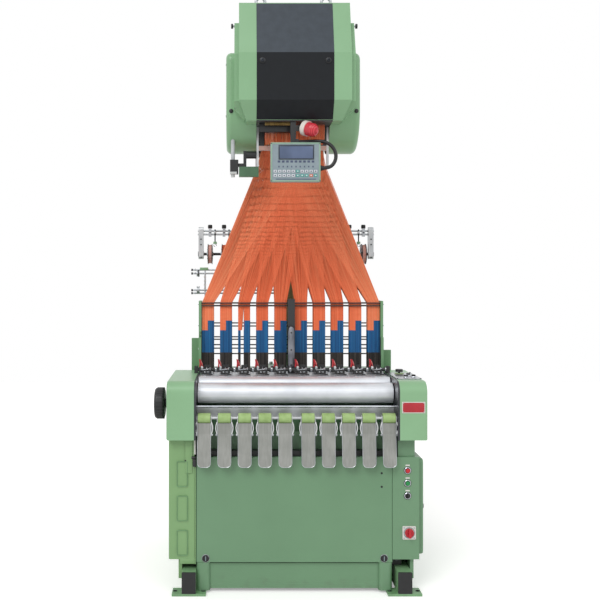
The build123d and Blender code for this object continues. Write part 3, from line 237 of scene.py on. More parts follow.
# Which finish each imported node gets
nodeFinish = {
    greenPanel: "front_panel electrical_cabinet cabinet_side_door corner_posts machine_core "
                "side_frames right_side_case",
    greenCast: "gear_housing_left gear_housing_right head_shell head_side_covers rear_column",
    greenCase: "left_gear_case",
    greenFeet: "foot_plates",
    greenPosts: "harness_posts",
    footBeamPaint: "foot_beams",
    headPanelPaint: "head_front_panel",
    blackEnamel: "side_plates",
    oxide: "sole_frame slot_bar harness_bars middle_post hook_frame terminal_arm weaving_heads needle_bar",
    rollerChrome: "takeoff_roller press_roller",
    chrome: "guide_bar",
    bracketZincShade: "roller_brackets",
    threadBarZinc: "thread_bars",
    zinc: "lifting_eyes feed_rods guide_arm control_desk",
    deckSteel: "weaving_table",
    darkSteel: "return_springs",
    linkagePaint: "drive_link",
    beaconShell: "beacon",
    chuteSteel: "tape_chutes",
    bareSteel: "feed_end_plates",
    limeRubber: "guide_rollers",
    nylon: "handwheel feeder_wheels selector_knob panel_knobs mushroom_button "
           "desk_button_1 desk_button_2 desk_button_3",
    redAbs: "stop_button main_switch_knob needle_clips",
    greenAbs: "start_button",
    paleAbs: "switch_plate",
    greyAbs: "operator_terminal",
    cableRubber: "terminal_cable",
}


def paint(piece, material):
    piece.data.materials.clear()
    piece.data.materials.append(material)


for material, names in nodeFinish.items():
    for name in names.split():
        paint(nodes[name], material)
print("carried-over nodes painted")

# Camera at the photograph's place: level, square on, a little left of the machine
camera = {"place": (-0.2115, -4.070, 1.335), "lens": 51.2, "sensor": 36.0, "shift": (0.1, -0.0333)}
bpy.ops.object.camera_add(location=camera["place"], rotation=(math.pi / 2, 0, 0))
photoCamera = bpy.context.object
photoCamera.data.lens = camera["lens"]
photoCamera.data.sensor_width = camera["sensor"]
photoCamera.data.shift_x, photoCamera.data.shift_y = camera["shift"]
bpy.context.scene.camera = photoCamera
bpy.context.scene.view_settings.view_transform = 'Standard'

# Lights: an even pale room, a wide soft lamp from the upper left and a weak one from the right
lights = {"room": 0.62, "key": 1.15, "fill": 0.35, "keySpread": 0.5}
world = bpy.data.worlds.new("pale_room")
bpy.context.scene.world = world
world.use_nodes = True
room = world.node_tree
rays = addNode(room, "ShaderNodeLightPath").outputs
clear = addNode(room, "ShaderNodeMath", links={0: rays["Is Camera Ray"], 1: rays["Is Transmission Ray"]},
                operation='MAXIMUM')
seen = addNode(room, "ShaderNodeMath", links={0: clear, 1: rays["Is Glossy Ray"]}, operation='MAXIMUM')
level = addNode(room, "ShaderNodeMapRange", {"To Min": lights["room"], "To Max": 1.0}, {"Value": seen})
addNode(room, room.nodes["Background"], {"Color": (1, 1, 1, 1)}, {"Strength": level})
for name, strength, turn in (("key", lights["key"], (48, 0, -28)), ("fill", lights["fill"], (62, 0, 40))):
    bpy.ops.object.light_add(type='SUN', rotation=[math.radians(a) for a in turn])
    bpy.context.object.name = name + "_lamp"
    bpy.context.object.data.energy = strength
    bpy.context.object.data.angle = lights["keySpread"]

# Floor and white backdrop, which keep only a soft shadow
bpy.ops.mesh.primitive_plane_add(size=14, location=(0, 0, -0.0005))
floor = bpy.context.object
floor.name = "studio_floor"
bpy.ops.object.transform_apply()
floorMaterial, floorTree, floorShader = startMaterial("pale_floor", "#F4F4F2", 0.8)[:3]
floorRays = addNode(floorTree, "ShaderNodeLightPath")
lift = addNode(floorTree, "ShaderNodeEmission", {"Color": (1, 1, 1, 1), "Strength": 0.34})
lit = addNode(floorTree, "ShaderNodeAddShader", links={0: floorShader, 1: lift})
cameraRay = floorRays.outputs["Is Camera Ray"]
both = addNode(floorTree, "ShaderNodeMixShader", links={0: cameraRay, 1: floorShader, 2: lit})
addNode(floorTree, floorTree.nodes["Material Output"], links={"Surface": both})
paint(floor, floorMaterial)
print("camera, lights and floor ready")

# Tools for the fine parts; their sizes and places are millimetres of the drawing
rightward, leftward, ahead, behind, upward = (1, 0, 0), (-1, 0, 0), (0, -1, 0), (0, 1, 0), (0, 0, 1)
# bevel segments, and the angles that count as sharp and as smooth
edges = {"steps": 2, "sharp": 40, "smooth": 35}


def takeAll(parts):
    bpy.ops.object.select_all(action='DESELECT')
    for part in parts:
        part.select_set(True)
    bpy.context.view_layer.objects.active = parts[0]


# Applies a new part's turn, rounds its sharp edges by some millimetres and paints it
def settle(part, material, rounding=0):
    bpy.ops.object.transform_apply()
    if rounding:
        takeAll([part])
        bevel = part.modifiers.new("rounding", 'BEVEL')
        bevel.width = rounding / 1000
        bevel.segments = edges["steps"]
        bevel.limit_method = 'ANGLE'
        bevel.angle_limit = math.radians(edges["sharp"])
        bpy.ops.object.modifier_apply(modifier=bevel.name)
    paint(part, material)
    return part


# A block between two opposite corners, with its edges rounded
def block(low, high, material, rounding):
    first, last = spot(*low), spot(*high)
    bpy.ops.mesh.primitive_cube_add(size=1, location=(first + last) / 2)
    part = bpy.context.object
    part.scale = last - first
    return settle(part, material, rounding)


# A round bar from one point to another, or a cone where its tip has another radius
def bar(start, end, radius, material, sides, rounding, tip=None):
    first, last = spot(*start), spot(*end)
    span = last - first
    turn = span.to_track_quat('Z', 'Y').to_euler()
    pose = {"vertices": sides, "depth": span.length, "location": (first + last) / 2, "rotation": turn}
    if tip is None:
        bpy.ops.mesh.primitive_cylinder_add(radius=radius / 1000, **pose)
    else:
        bpy.ops.mesh.primitive_cone_add(radius1=radius / 1000, radius2=tip / 1000, **pose)
    return settle(bpy.context.object, material, rounding)


# A ring of wire about a centre, square to a direction; around and through count its faces each way
def ring(centre, direction, ringRadius, wireRadius, material, around, through):
    turn = Vector(direction).to_track_quat('Z', 'Y').to_euler()
    bpy.ops.mesh.primitive_torus_add(location=spot(*centre), rotation=turn, major_radius=ringRadius / 1000,
                                     minor_radius=wireRadius / 1000, major_segments=around,
                                     minor_segments=through)
    return settle(bpy.context.object, material)


# A flat outline, a list of (x, z), pushed back by a depth
def plate(outline, front, depth, material, rounding):
    mesh = bpy.data.meshes.new("plate")
    mesh.from_pydata([spot(x, front, z) for x, z in outline], [], [range(len(outline))])
    part = bpy.data.objects.new("plate", mesh)
    bpy.context.collection.objects.link(part)
    takeAll([part])
    bpy.ops.object.mode_set(mode='EDIT')
    bpy.ops.mesh.select_all(action='SELECT')
    bpy.ops.mesh.extrude_region_move(TRANSFORM_OT_translate={"value": (0, depth / 1000, 0)})
    bpy.ops.mesh.select_all(action='SELECT')
    bpy.ops.mesh.normals_make_consistent(inside=False)
    bpy.ops.object.mode_set(mode='OBJECT')
    return settle(part, material, rounding)


# A round curve object through points in metres, smooth or straight between them
def curveThrough(name, lines, radius, resolution, smooth=True, closed=False):
    curve = bpy.data.curves.new(name, 'CURVE')
    curve.dimensions = '3D'
    for points in lines:
        spline = curve.splines.new('NURBS' if smooth else 'POLY')
        spline.points.add(len(points) - 1)
        for point, place in zip(spline.points, points):
            point.co = (*place, 1)
        if smooth:
            spline.order_u = 3
            spline.use_endpoint_u = not closed
            spline.use_cyclic_u = closed
    curve.bevel_depth = radius
    curve.bevel_resolution = resolution
    curve.use_fill_caps = smooth
    piece = bpy.data.objects.new(name, curve)
    bpy.context.collection.objects.link(piece)
    return piece


# Turns a curve object into a mesh
def meshOf(piece):
    takeAll([piece])
    bpy.ops.object.convert(target='MESH')
    return bpy.context.object


# A tube along points, joined smoothly; for handles, wires and beads that are fixed at both ends
def tube(points, radius, material, closed=False, resolution=3):
    part = meshOf(curveThrough("tube", [[spot(*place) for place in points]], radius / 1000, resolution,
                               closed=closed))
    paint(part, material)
    return part


# A cap screw standing out of a face, with a raised crown and a round socket; shares of its radius and height
screwHead = {"sides": 18, "rim": 0.18, "crown": 0.12, "wall": 0.3, "socket": 0.45}


def screw(centre, direction, radius, height, material):
    way = Vector(direction)
    middle = spot(*(Vector(centre) + way * height / 2))
    bpy.ops.mesh.primitive_cylinder_add(vertices=screwHead["sides"], radius=radius / 1000,
                                        depth=height / 1000,
                                        location=middle, rotation=way.to_track_quat('Z', 'Y').to_euler())
    part = bpy.context.object
    bpy.ops.object.transform_apply()
    bpy.ops.object.mode_set(mode='EDIT')
    bpy.ops.mesh.select_all(action='DESELECT')
    bpy.ops.object.mode_set(mode='OBJECT')
    for face in part.data.polygons:
        face.select = face.normal.dot(way) > 0.9
    bpy.ops.object.mode_set(mode='EDIT')
    bpy.ops.mesh.inset(thickness=radius * screwHead["rim"] / 1000, depth=0)
    bpy.ops.transform.translate(value=way * radius * screwHead["crown"] / 1000)
    bpy.ops.mesh.inset(thickness=radius * screwHead["wall"] / 1000, depth=0)
    bpy.ops.mesh.extrude_region_move(TRANSFORM_OT_translate={"value": -way * height * screwHead["socket"]
                                                             / 1000})
    bpy.ops.object.mode_set(mode='OBJECT')
    paint(part, material)
    return part


def screws(places, direction, radius, height, material):
    return [screw(place, direction, radius, height, material) for place in places]


# Places evenly round an axis, in the plane that the two numbers of its centre lie in
def roundAxis(centre, radius, count, start=0.0):
    angles = [2 * math.pi * k / count + start for k in range(count)]
    return [(centre[0] + radius * math.cos(a), centre[1] + radius * math.sin(a)) for a in angles]


# Joins finished parts into one named piece that moves with a body
def finishPiece(name, parts, body="root", replaced=()):
    takeAll(parts)
    if len(parts) > 1:
        bpy.ops.object.join()
    piece = bpy.context.object
    piece.name = name
    bpy.ops.object.shade_smooth_by_angle(angle=math.radians(edges["smooth"]))
    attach(piece, body)
    if replaced:
        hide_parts(*replaced)


def copyOf(part, shift):
    twin = part.copy()
    twin.data = part.data.copy()
    bpy.context.collection.objects.link(twin)
    twin.data.transform(Matrix.Translation(Vector(shift) / 1000))
    return twin


# Copies of some parts moved across by each step; the first ones go
def repeatAt(parts, steps):
    copies = [copyOf(part, (step, 0, 0)) for step in steps for part in parts]
    for part in parts:
        bpy.data.objects.remove(part)
    return copies


# Terminal cable: out of the terminal's side, round and up into the gland under the head
cableRoute = {"radius": 0.008, "length": 0.3069, "points": [
    (108, 107.5, 1821), (136, 107.5, 1821), (162, 108.5, 1832), (178, 110.5, 1862), (175, 113.5, 1896),
    (156, 117.5, 1924),
    (126, 124.5, 1940), (92, 134.5, 1943), (64, 151.5, 1944), (42, 165, 1945), (18, 165, 1945)]}
cableLine = [spot(*place) for place in cableRoute["points"]]
cablePiece = curveThrough("terminal_cable_sleeve", [cableLine], cableRoute["radius"], 5)
cablePiece.data.materials.append(cableRubber)
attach(cablePiece, "root")
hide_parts("terminal_cable")
print("cable laid")


# Thread or wire whose tone changes from strand to strand: the piece carries that tone as an attribute
def strandMaterial(name, dark, middle, light, roughness, coil=0.0, metallic=0.0):
    material, tree, shader, place = startMaterial(name, middle, roughness, metallic)
    tone = addNode(tree, "ShaderNodeAttribute", attribute_name="tone",
                   attribute_type='GEOMETRY').outputs["Fac"]
    lowHalf = addNode(tree, "ShaderNodeMapRange", {"From Max": 0.5}, {"Value": tone})
    highHalf = addNode(tree, "ShaderNodeMapRange", {"From Min": 0.5}, {"Value": tone})
    lower = addNode(tree, "ShaderNodeMix", {6: dark, 7: middle}, {0: lowHalf}, data_type='RGBA')
    tint = addNode(tree, "ShaderNodeMix", {7: light}, {0: highHalf, 6: lower}, data_type='RGBA')
    addNode(tree, shader, links={"Base Color": tint})
    if coil:      # turns of wire or twist of yarn, coil metres apart: a wave of scale 1 repeats in 0.314 m
        turns = addNode(tree, "ShaderNodeTexWave", {"Scale": 0.314 / coil}, {"Vector": place},
                        bands_direction='Z')
        bump = addNode(tree, "ShaderNodeBump", {"Strength": 0.7, "Distance": coil / 6},
                       {"Height": turns.outputs["Fac"]})
        addNode(tree, shader, links={"Normal": bump})
    return material


# twisted, dusty
orangeThread = strandMaterial("orange_polyester_thread", "#DE6236", "#F88053", "#FFA577", 0.62, coil=0.006)
# moulded eyelet strips, edge on
blueHeald = strandMaterial("blue_heald_plastic", "#06446F", "#0F5A92", "#2278AE", 0.4)
# oiled coils, drawn coarse
springWire = strandMaterial("spring_wire", "#232221", "#3B3837", "#5F5750", 0.45, coil=0.004, metallic=0.5)
strandChance = random.Random(11)


# Many taut strands as one mesh of square tubes; paths are lists of points, tones one number a strand
def strandField(name, paths, tones, radius, material):
    piece = meshOf(curveThrough(name, paths, radius, 0, smooth=False))
    piece.name = name
    # each point of a path has four corners in the mesh, and they all take their strand's tone
    shades = [tone for path, tone in zip(paths, tones) for corner in range(4 * len(path))]
    piece.data.attributes.new("tone", 'FLOAT', 'POINT').data.foreach_set("value", shades)
    paint(piece, material)
    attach(piece, "root")
    return piece


# Every hook of the head carries one cord to each tape, so each tape's cords spread over the hook field
harness = {
    "lanes": [side * (48.8 + 86.0 * k) for side in (-1, 1) for k in range(5)],
    "across": 32, "deep": 10, "halfTape": 28.0,
    "comber": 1226.0, "comberDepth": 465.0, "comberHalfDepth": 24.0,
    "guide": 1862.0, "guideDepth": 437.0, "guideHalfDepth": 62.0, "guideSpread": 106.0, "guideLean": 0.142,
    "hooks": 2009.0, "neck": 1950.0, "hooksDepth": 425.0, "hooksHalfDepth": 86.0, "hookColumns": 20,
    "hookGroup": 4,
    "hookStep": 12.4, "groupStep": 59.0, "healdLow": 992.0, "healdTops": (1097.0, 1143.0), "springLow": 905.0,
    "opened": (-238.0, -222.0), "drawnAside": 9.0, "outermost": 393.0,
    "cordRadius": 0.0011, "healdRadius": 0.0014, "springRadius": 0.0014, "jitter": 0.5}

cordPaths, healdPaths, springPaths, cordTones, healdTones, springTones = [], [], [], [], [], []
for lane in harness["lanes"]:
    for i in range(harness["across"]):
        u = 2 * (i + 0.5) / harness["across"] - 1
        top = harness["healdTops"][0 if u < 0 else 1]
        for j in range(harness["deep"]):
            v = 2 * (j + 0.5) / harness["deep"] - 1
            nudge = strandChance.uniform(-1, 1) * harness["jitter"]
            x = lane + u * harness["halfTape"] + nudge
            y = harness["comberDepth"] + v * harness["comberHalfDepth"]
            guide = spot(lane * harness["guideLean"] + u * harness["guideSpread"] + 3 * nudge,
                         harness["guideDepth"] + v * harness["guideHalfDepth"], harness["guide"])
            column = min(int((u + 1) / 2 * harness["hookColumns"]), harness["hookColumns"] - 1)
            group, member = divmod(column, harness["hookGroup"])
            hookX = (group - 2) * harness["groupStep"] + (member - 1.5) * harness["hookStep"] + nudge * 2
            hookY = harness["hooksDepth"] + v * harness["hooksHalfDepth"]
            # one gap is open in the third tape's healds, where its cords are drawn aside
            aside = harness["opened"][0] < x < harness["opened"][1]
            foot = x - harness["drawnAside"] if aside else x
            cordPaths.append([spot(foot, y, top), spot(x, y, harness["comber"]), guide,
                              spot(hookX, hookY, harness["neck"]), spot(hookX, hookY, harness["hooks"])])
            # the outer tapes catch more light
            cordTones.append(0.12 + 0.5 * strandChance.random() + 0.38
                             * abs(lane / harness["outermost"]) ** 3)
            if not aside:
                healdPaths.append([spot(x, y, harness["healdLow"]), spot(x, y, top)])
                springPaths.append([spot(x, y, harness["springLow"]), spot(x, y, harness["healdLow"])])
                healdTones.append(strandChance.uniform(0.1, 0.9))
                springTones.append(strandChance.uniform(0.0, 0.9))

for name, paths, tones, radius, material, replaced, slot in (
        ("harness_cords", cordPaths, cordTones, harness["cordRadius"], orangeThread, "harness_fan",
         "orange_cord"),
        ("heald_strips", healdPaths, healdTones, harness["healdRadius"], blueHeald, "healds", "blue_healds"),
        ("return_spring_coils", springPaths, springTones, harness["springRadius"], springWire,
         "return_springs", "spring_steel")):
    piece = strandField(name, paths, tones, radius, material)
    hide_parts(replaced)
print("harness strung:", len(cordPaths), "cords")

# Rack that anchors the return springs: a bar with a raised, drilled strip under each tape
rack = {"half": 427.0, "front": 440.0, "back": 490.0, "low": 880.0, "top": 905.0, "stripRise": 1.5,
        "stripHalf": 30.0,
        "screwOffset": (43.0, 12.0)}
rackTop = rack["top"] - rack["stripRise"]
rackParts = [block((-rack["half"], rack["front"], rack["low"]), (rack["half"], rack["back"], rackTop), oxide,
                   1.2)]
for lane in harness["lanes"]:
    rackParts.append(block((lane - rack["stripHalf"], rack["front"] + 1, rack["top"] - 4),
                                  (lane + rack["stripHalf"], rack["back"] - 1, rack["top"]), darkSteel, 0.8))
    across, inward = rack["screwOffset"]
    rackParts.append(screw((lane + across, rack["front"] + inward, rackTop), upward, 4.5, 5, zinc))
finishPiece("spring_rack", rackParts, replaced=["return_springs"])
print("spring rack ready")

# Head: cap screws in rubber washers on the black panel and on the side covers
screwParts = []
for xs, z, back, face, washer, sides, rounding, radius, height, steel in (
        ((-143, 143), 2286, 95.5, 91.5, 13, 28, 1.2, 8.5, 5, darkSteel),
        ((-280, 284), 2096, 246, 239, 9.5, 24, 1.5, 5, 4, oxide)):
    for x in xs:
        screwParts += [bar((x, back, z), (x, face, z), washer, nylon, sides, rounding),
                       screw((x, face, z), ahead, radius, height, steel)]
finishPiece("head_cover_screws", screwParts)

# Thumb knobs on the head's side plates: zinc stem, black grip, and a second pair lower and further back
knob = {"stem": (264, 272), "grip": (271, 280), "place": (184, 2460), "second": (0, 330, -180)}
knobParts = []
for side in (-1, 1):
    root, neck, shoulder, tip = [(side * x, *knob["place"]) for x in knob["stem"] + knob["grip"]]
    pair = [bar(root, neck, 4.5, zinc, 14, 0.4), bar(shoulder, tip, 11, nylon, 12, 1.6)]
    knobParts += pair + [copyOf(part, knob["second"]) for part in pair]
finishPiece("side_plate_knobs", knobParts)

# Comb board under the head: black, with brass hook tips in rows on its left half and neck cords on its right
comb = {"plate": ((-168, 155.2, 2034), (168, 299, 2037.4)), "lip": ((-168, 154.2, 2034), (168, 157, 2042)),
        "board": ((-155, 206, 1996), (1, 214, 2035)), "left": -128, "groups": 6, "perGroup": 4, "rows": 3,
        "step": 5.2,
        "groupStep": 21.5, "front": 172, "rowStep": 14, "tips": 2019, "top": 2035, "wire": 1.5}
# drawn wire tips, a little dull
brass = brushedMetal("brass_hooks", "#B79A62", "#8C7344", 0.35, (60.0, 60.0, 20.0))
combParts = [block(*comb[name], oxide, rounding)
             for name, rounding in (("plate", 0.8), ("lip", 0.6), ("board", 1.0))]
for row, group, k in product(range(comb["rows"]), range(comb["groups"]), range(comb["perGroup"])):
    x = comb["left"] + group * comb["groupStep"] + k * comb["step"]
    y = comb["front"] + row * comb["rowStep"]
    combParts.append(bar((x, y, comb["tips"] + row * 2), (x, y, comb["top"]), comb["wire"], brass, 8, 0.3))
finishPiece("hook_comb", combParts)

# Neck cords hang from the comb in three rows, in fives, and gather under the hook frame
neck = {"rows": 3, "count": 50, "left": -126, "step": 5.3, "groupGap": 0.6, "front": 240, "rowStep": 24,
        "tops": (1998, 2034),
        "boardEnd": 4, "middle": 1975, "low": 1951, "back": 297, "narrowing": 0.97}
neckPaths, neckTones = [], []
for row, k in product(range(neck["rows"]), range(neck["count"])):
    x = neck["left"] + k * neck["step"] + (k // 5) * neck["groupGap"]
    y = neck["front"] + row * neck["rowStep"]
    sway = strandChance.uniform(-1, 1)
    top = neck["tops"][1 if x > neck["boardEnd"] else 0]
    gathered = spot(x * neck["narrowing"], min(y + 20, neck["back"]), neck["low"])
    neckPaths.append([spot(x, y, top), spot(x + sway, y + 2, neck["middle"]), gathered])
    neckTones.append(strandChance.uniform(0.1, 0.9))
strandField("neck_cords", neckPaths, neckTones, harness["cordRadius"], orangeThread)

# Folded seams where the head's lower facets meet the sides, and the bolts under the lifting eyes
seamParts = []
for side in (-1, 1):
    seamParts += [tube([(side * 245.2, y, z) for y, z in ((97, 2322), (96.4, 2219), (97, 2116))], 0.8,
                       greenCast),
                  bar((side * 148, 260, 2559.5), (side * 148, 260, 2563), 22, zinc, 6, 0.5)]
finishPiece("head_seams", seamParts)
print("head fittings ready")

# Operator terminal: raised rim, screen glass and two rows of keys; captions are plain bars
terminal = {"face": 90.0, "rim": (-108, 1760, 108, 1930), "screen": (-69, 1861, 75, 1914), "keyLeft": -88.0,
            "keyPitch": 19.4,
            "keysPerRow": 10, "keyHalf": (7.0, 5.5), "keyRows": (1805.5, 1787.0), "keyRise": 1.8,
            "legendHalf": (3.2, 2.4),
            "teal": ((0, 5), (1, 5), (1, 6), (1, 7), (1, 9)), "orange": ((1, 8),), "captions": 9,
            "captionLeft": -72, "captionPitch": 18.4}
rimPaint = mouldedPlastic("terminal_rim_green", "#8FAE9B", "#86A592", 0.4)
# liquid crystal behind a clear window
glass, glassTree, glassShader, glassPlace = startMaterial("lcd_glass", "#4E5C78", 0.16, IOR=1.5)
glassCloud = addNode(glassTree, "ShaderNodeTexNoise", {"Scale": 9.0, "Detail": 2.0}, {"Vector": glassPlace})
glassEdge = addNode(glassTree, "ShaderNodeMapRange", {"From Min": 0.35, "From Max": 0.65},
                    {"Value": glassCloud})
glassTint = addNode(glassTree, "ShaderNodeMix", {6: "#43516B", 7: "#5C6B8A"}, {0: glassEdge},
                    data_type='RGBA')
addNode(glassTree, glassShader, links={"Base Color": glassTint})
screenFrame = mouldedPlastic("screen_frame", "#2E3846", "#272F3B", 0.3)
keyWhite = mouldedPlastic("key_caps_white", "#DDE0E4", "#D2D5DA", 0.35)
keyTeal = mouldedPlastic("key_caps_teal", "#3FA79A", "#379A8E", 0.35)
keyOrange = mouldedPlastic("key_caps_orange", "#D9714A", "#CE6640", 0.35)
inkBlue = mouldedPlastic("caption_ink", "#4A5570", "#414B64", 0.4)


# A thin tile of the terminal's face, between two depths behind it
def tileOver(area, depths, material, rounding):
    left, low, right, high = area
    front, back = [terminal["face"] + depth for depth in depths]
    return block((left, front, low), (right, back, high), material, rounding)


def tileAt(x, z, halfSize, depths, material, rounding):
    across, up = halfSize
    return tileOver((x - across, z - up, x + across, z + up), depths, material, rounding)


# Four bars round a window; the upright ones lap over the others
def frameAround(window, width, lap, depths, material, rounding):
    left, low, right, high = window
    foot, top = low + width - lap, high - width + lap
    strips = ((left, low, right, low + width), (left, high - width, right, high),
              (left, foot, left + width, top), (right - width, foot, right, top))
    return [tileOver(strip, depths, material, rounding) for strip in strips]


left, low, right, high = terminal["screen"]
terminalParts = frameAround(terminal["rim"], 7, 6, (-1.6, 3), rimPaint, 1.2)
terminalParts += frameAround((left - 5, low - 5, right + 5, high + 5), 5, 1, (-2.2, 2), screenFrame, 0.8)
terminalParts.append(tileOver((left - 1, low - 1, right + 1, high + 1), (-1, 1.5), glass, 0.2))
for (row, z), k in product(enumerate(terminal["keyRows"]), range(terminal["keysPerRow"])):
    x = terminal["keyLeft"] + k * terminal["keyPitch"]
    cap = (keyTeal if (row, k) in terminal["teal"] else
           keyOrange if (row, k) in terminal["orange"] else keyWhite)
    terminalParts.append(tileAt(x, z, terminal["keyHalf"], (-terminal["keyRise"], 1), cap, 0.9))
    legend = inkBlue if cap is keyWhite else keyWhite
    terminalParts.append(tileAt(x, z, terminal["legendHalf"],
                                (-terminal["keyRise"] - 0.3, -terminal["keyRise"] + 0.3), legend, 0.1))
for k in range(terminal["captions"]):
    x = terminal["captionLeft"] + k * terminal["captionPitch"]
    terminalParts += [tileAt(x, 1847.5, (5.5, 4.5), (-0.5, 0.5), inkBlue, 0.15),
                      tileAt(x, 1825.5, (2.5, 3.5), (-0.5, 0.5), inkBlue, 0.15)]
terminalParts.append(tileAt(1, 1771.25, (87, 1.75), (-0.4, 0.5), inkBlue, 0.1))
finishPiece("terminal_keypad", terminalParts)

# Terminal from the side and behind: the cable's gland, corner screws and a raised back
gland = [(x, 107.5, 1821) for x in (108, 116, 126)]
terminalBack = [bar(gland[0], gland[1], 12, nylon, 20, 1.2),
                bar(gland[1], gland[2], 10.5, nylon, 20, 1.5, tip=8.6)]
terminalBack += screws(product((-92, 92), (125,), (1775, 1915)), behind, 4, 3, zinc)
terminalBack.append(block((-60, 124.6, 1850), (60, 127, 1905), greyAbs, 1.0))
finishPiece("terminal_gland_and_back", terminalBack)
print("terminal ready")

# Tape chutes: a bright wire rim round each, straight to z 683 and then sloping forward to its rounded end
chuteEnd = [(10 + 18 * math.cos(a), 561.5 - 18 * math.sin(a))
            for a in (0, 0.31, 0.63, 0.94, 1.26, 1.57)] + [(4, 543.5)]
halfRim = [(28, z) for z in (727, 690, 683, 676, 620, 575)] + chuteEnd
rimLine = halfRim + [(-x, z) for x, z in reversed(halfRim)]
rimParts = [tube([(x, 18 * min(1, (z - 542.6) / 140.4) - 0.2, z) for x, z in rimLine], 1.3, zinc,
                 resolution=2),
            bar((-22, 20.5, 722), (22, 20.5, 722), 1.4, zinc, 10, 0.2)]
finishPiece("chute_rims", repeatAt(rimParts, harness["lanes"]))

# Bowed spring clips beside the lime rollers, each on a screw, with a dark collar at its top
clip = {"inner": 29.5, "bow": 5.5, "thick": 3.2, "low": 682.0, "high": 733.0, "front": 13.0, "depth": 14,
        "steps": 8}
# freshly plated strip, nearly white
clipZinc = brushedMetal("bright_zinc_clip", "#F0F1F1", "#D9DBDC", 0.42, (60.0, 60.0, 30.0), 0.3)
clipParts = []
for side in (-1, 1):
    shares = [k / clip["steps"] for k in range(clip["steps"] + 1)]
    curve = [(clip["inner"] + math.sin(math.pi * t) * clip["bow"],
              clip["low"] + t * (clip["high"] - clip["low"])) for t in shares]
    outline = [(side * x, z) for x, z in curve] + [(side * (x + clip["thick"]), z)
                                                   for x, z in reversed(curve)]
    clipParts += [plate(outline[::side], clip["front"], clip["depth"], clipZinc, 0.6),
                  screw((side * 33.5, clip["front"] + 8, 678), ahead, 4.2, 4, zinc),
                  bar((side * 29, 30, 748), (side * 35.5, 30, 748), 5.2, oxide, 12, 0.5)]
finishPiece("roller_spring_clips", repeatAt(clipParts, harness["lanes"]))

# Push buttons: a bright bezel on a dark gasket, and a bare pale tag above
button = {"across": 474.0, "heights": (522.9, 468.8, 415.192), "face": 38.0}
bezelParts = []
for z in button["heights"]:
    x, face = button["across"], button["face"]
    bezelParts += [ring((x, face - 1.2, z), behind, 12.2, 2.4, chrome, 36, 10),
                   bar((x, face + 1, z), (x, face - 0.8, z), 16.5, nylon, 32, 0.5),
                   block((x - 9, face - 0.6, z + 19), (x + 9, face + 1, z + 25), paleAbs, 0.2)]
finishPiece("button_bezels", bezelParts)

# Main switch: a raised ring and four screws
switch = {"place": (480.5, 257.796), "screws": (-22, 22), "face": 35}
switchX, switchZ = switch["place"]
switchParts = [ring((switchX, switch["face"] - 0.4, switchZ), behind, 22.5, 1.4, greyAbs, 40, 8)]
corners = [(switchX + dx, switch["face"], switchZ + dz) for dx, dz in product(switch["screws"], repeat=2)]
switchParts += screws(corners, ahead, 3, 1.8, zinc)
finishPiece("switch_screws", switchParts)

# Bare red plate with a pale border on the right housing, screws at its corners
plateRed = mouldedPlastic("red_plate_film", "#B52A34", "#A8242E", 0.3)
plateParts = [block((443, -1.6, 773), (541, 0.6, 821), paleAbs, 0.5),
              block((446.5, -2.2, 776.5), (537.5, -0.8, 817.5), plateRed, 0.4)]
plateParts += screws(product((449, 535), (-2.1,), (779, 815)), ahead, 1.9, 1.0, zinc)
finishPiece("right_housing_plate", plateParts)

# Housings: screws and an oil sight glass on their outer sides, and a gasket line where each meets the body
housing = {"side": 551.5, "sight": (300, 720),
           "screws": ((62, 870), (430, 870), (430, 690), (240, 690), (240, 870))}
housingParts, gasketParts = [], []
for side in (-1, 1):
    for start, end, radius, steel, sides, rounding in ((551.5, 554, 16, zinc, 28, 0.8),
                                                       (552, 555.2, 10.5, limeRubber, 24, 0.6)):
        housingParts.append(bar((side * start, *housing["sight"]), (side * end, *housing["sight"]), radius,
                                steel, sides, rounding))
    housingParts += screws([(side * housing["side"], y, z) for y, z in housing["screws"]], (side, 0, 0), 4.6,
                           3.2, oxide)
    inner, outer = sorted((side * 436, side * 546))
    gasketParts.append(block((inner, 38, 656.6), (outer, 420, 659.4), nylon, 0.4))
finishPiece("housing_screws", housingParts)
finishPiece("housing_gaskets", gasketParts)

# Handwheel: grip grooves, a bright hub cap with its screws and a raised ring; they turn with the wheel
wheel = {"axis": (115.0, 800.0), "grooves": 30, "grooveRadius": 66.1, "screws": 3, "screwRadius": 34,
         "face": -598.5}
grooves = roundAxis(wheel["axis"], wheel["grooveRadius"], wheel["grooves"])
wheelParts = [bar((-600, y, z), (-568, y, z), 2.0, nylon, 8, 0.5) for y, z in grooves]
wheelParts += [bar((-599, *wheel["axis"]), (-603.5, *wheel["axis"]), 15, zinc, 30, 1.0),
               screw((-603.5, *wheel["axis"]), leftward, 6.5, 5, oxide)]
hubScrews = roundAxis(wheel["axis"], wheel["screwRadius"], wheel["screws"], 0.5)
wheelParts += screws([(wheel["face"], y, z) for y, z in hubScrews], leftward, 4.4, 4, zinc)
wheelParts.append(ring((wheel["face"], *wheel["axis"]), rightward, 46, 1.5, nylon, 44, 8))
finishPiece("handwheel_grip", wheelParts, body="handwheel")

# Feet: dark worn rims round the bolt holes, and welds where the beams meet the plates
foot = {"beams": (-457, 457), "plates": (37.5, 902.5), "holes": (-60, 60), "welds": ((3, 72), (868, 937)),
        "half": 31}
holes = [(x + dx, y, 9.6) for x, y, dx in product(foot["beams"], foot["plates"], foot["holes"])]
finishPiece("bolt_hole_rims", [ring(hole, upward, 7.6, 2.2, darkSteel, 32, 8) for hole in holes])
weldParts = []
for x, side, (start, end) in product(foot["beams"], (-1, 1), foot["welds"]):
    edge = x + side * foot["half"]
    seam = [(edge, start, 10.5), (edge + side * 0.6, (start + end) / 2, 11.5), (edge, end, 10.5)]
    weldParts.append(tube(seam, 3.0, greenFeet, resolution=2))
finishPiece("foot_welds", weldParts)

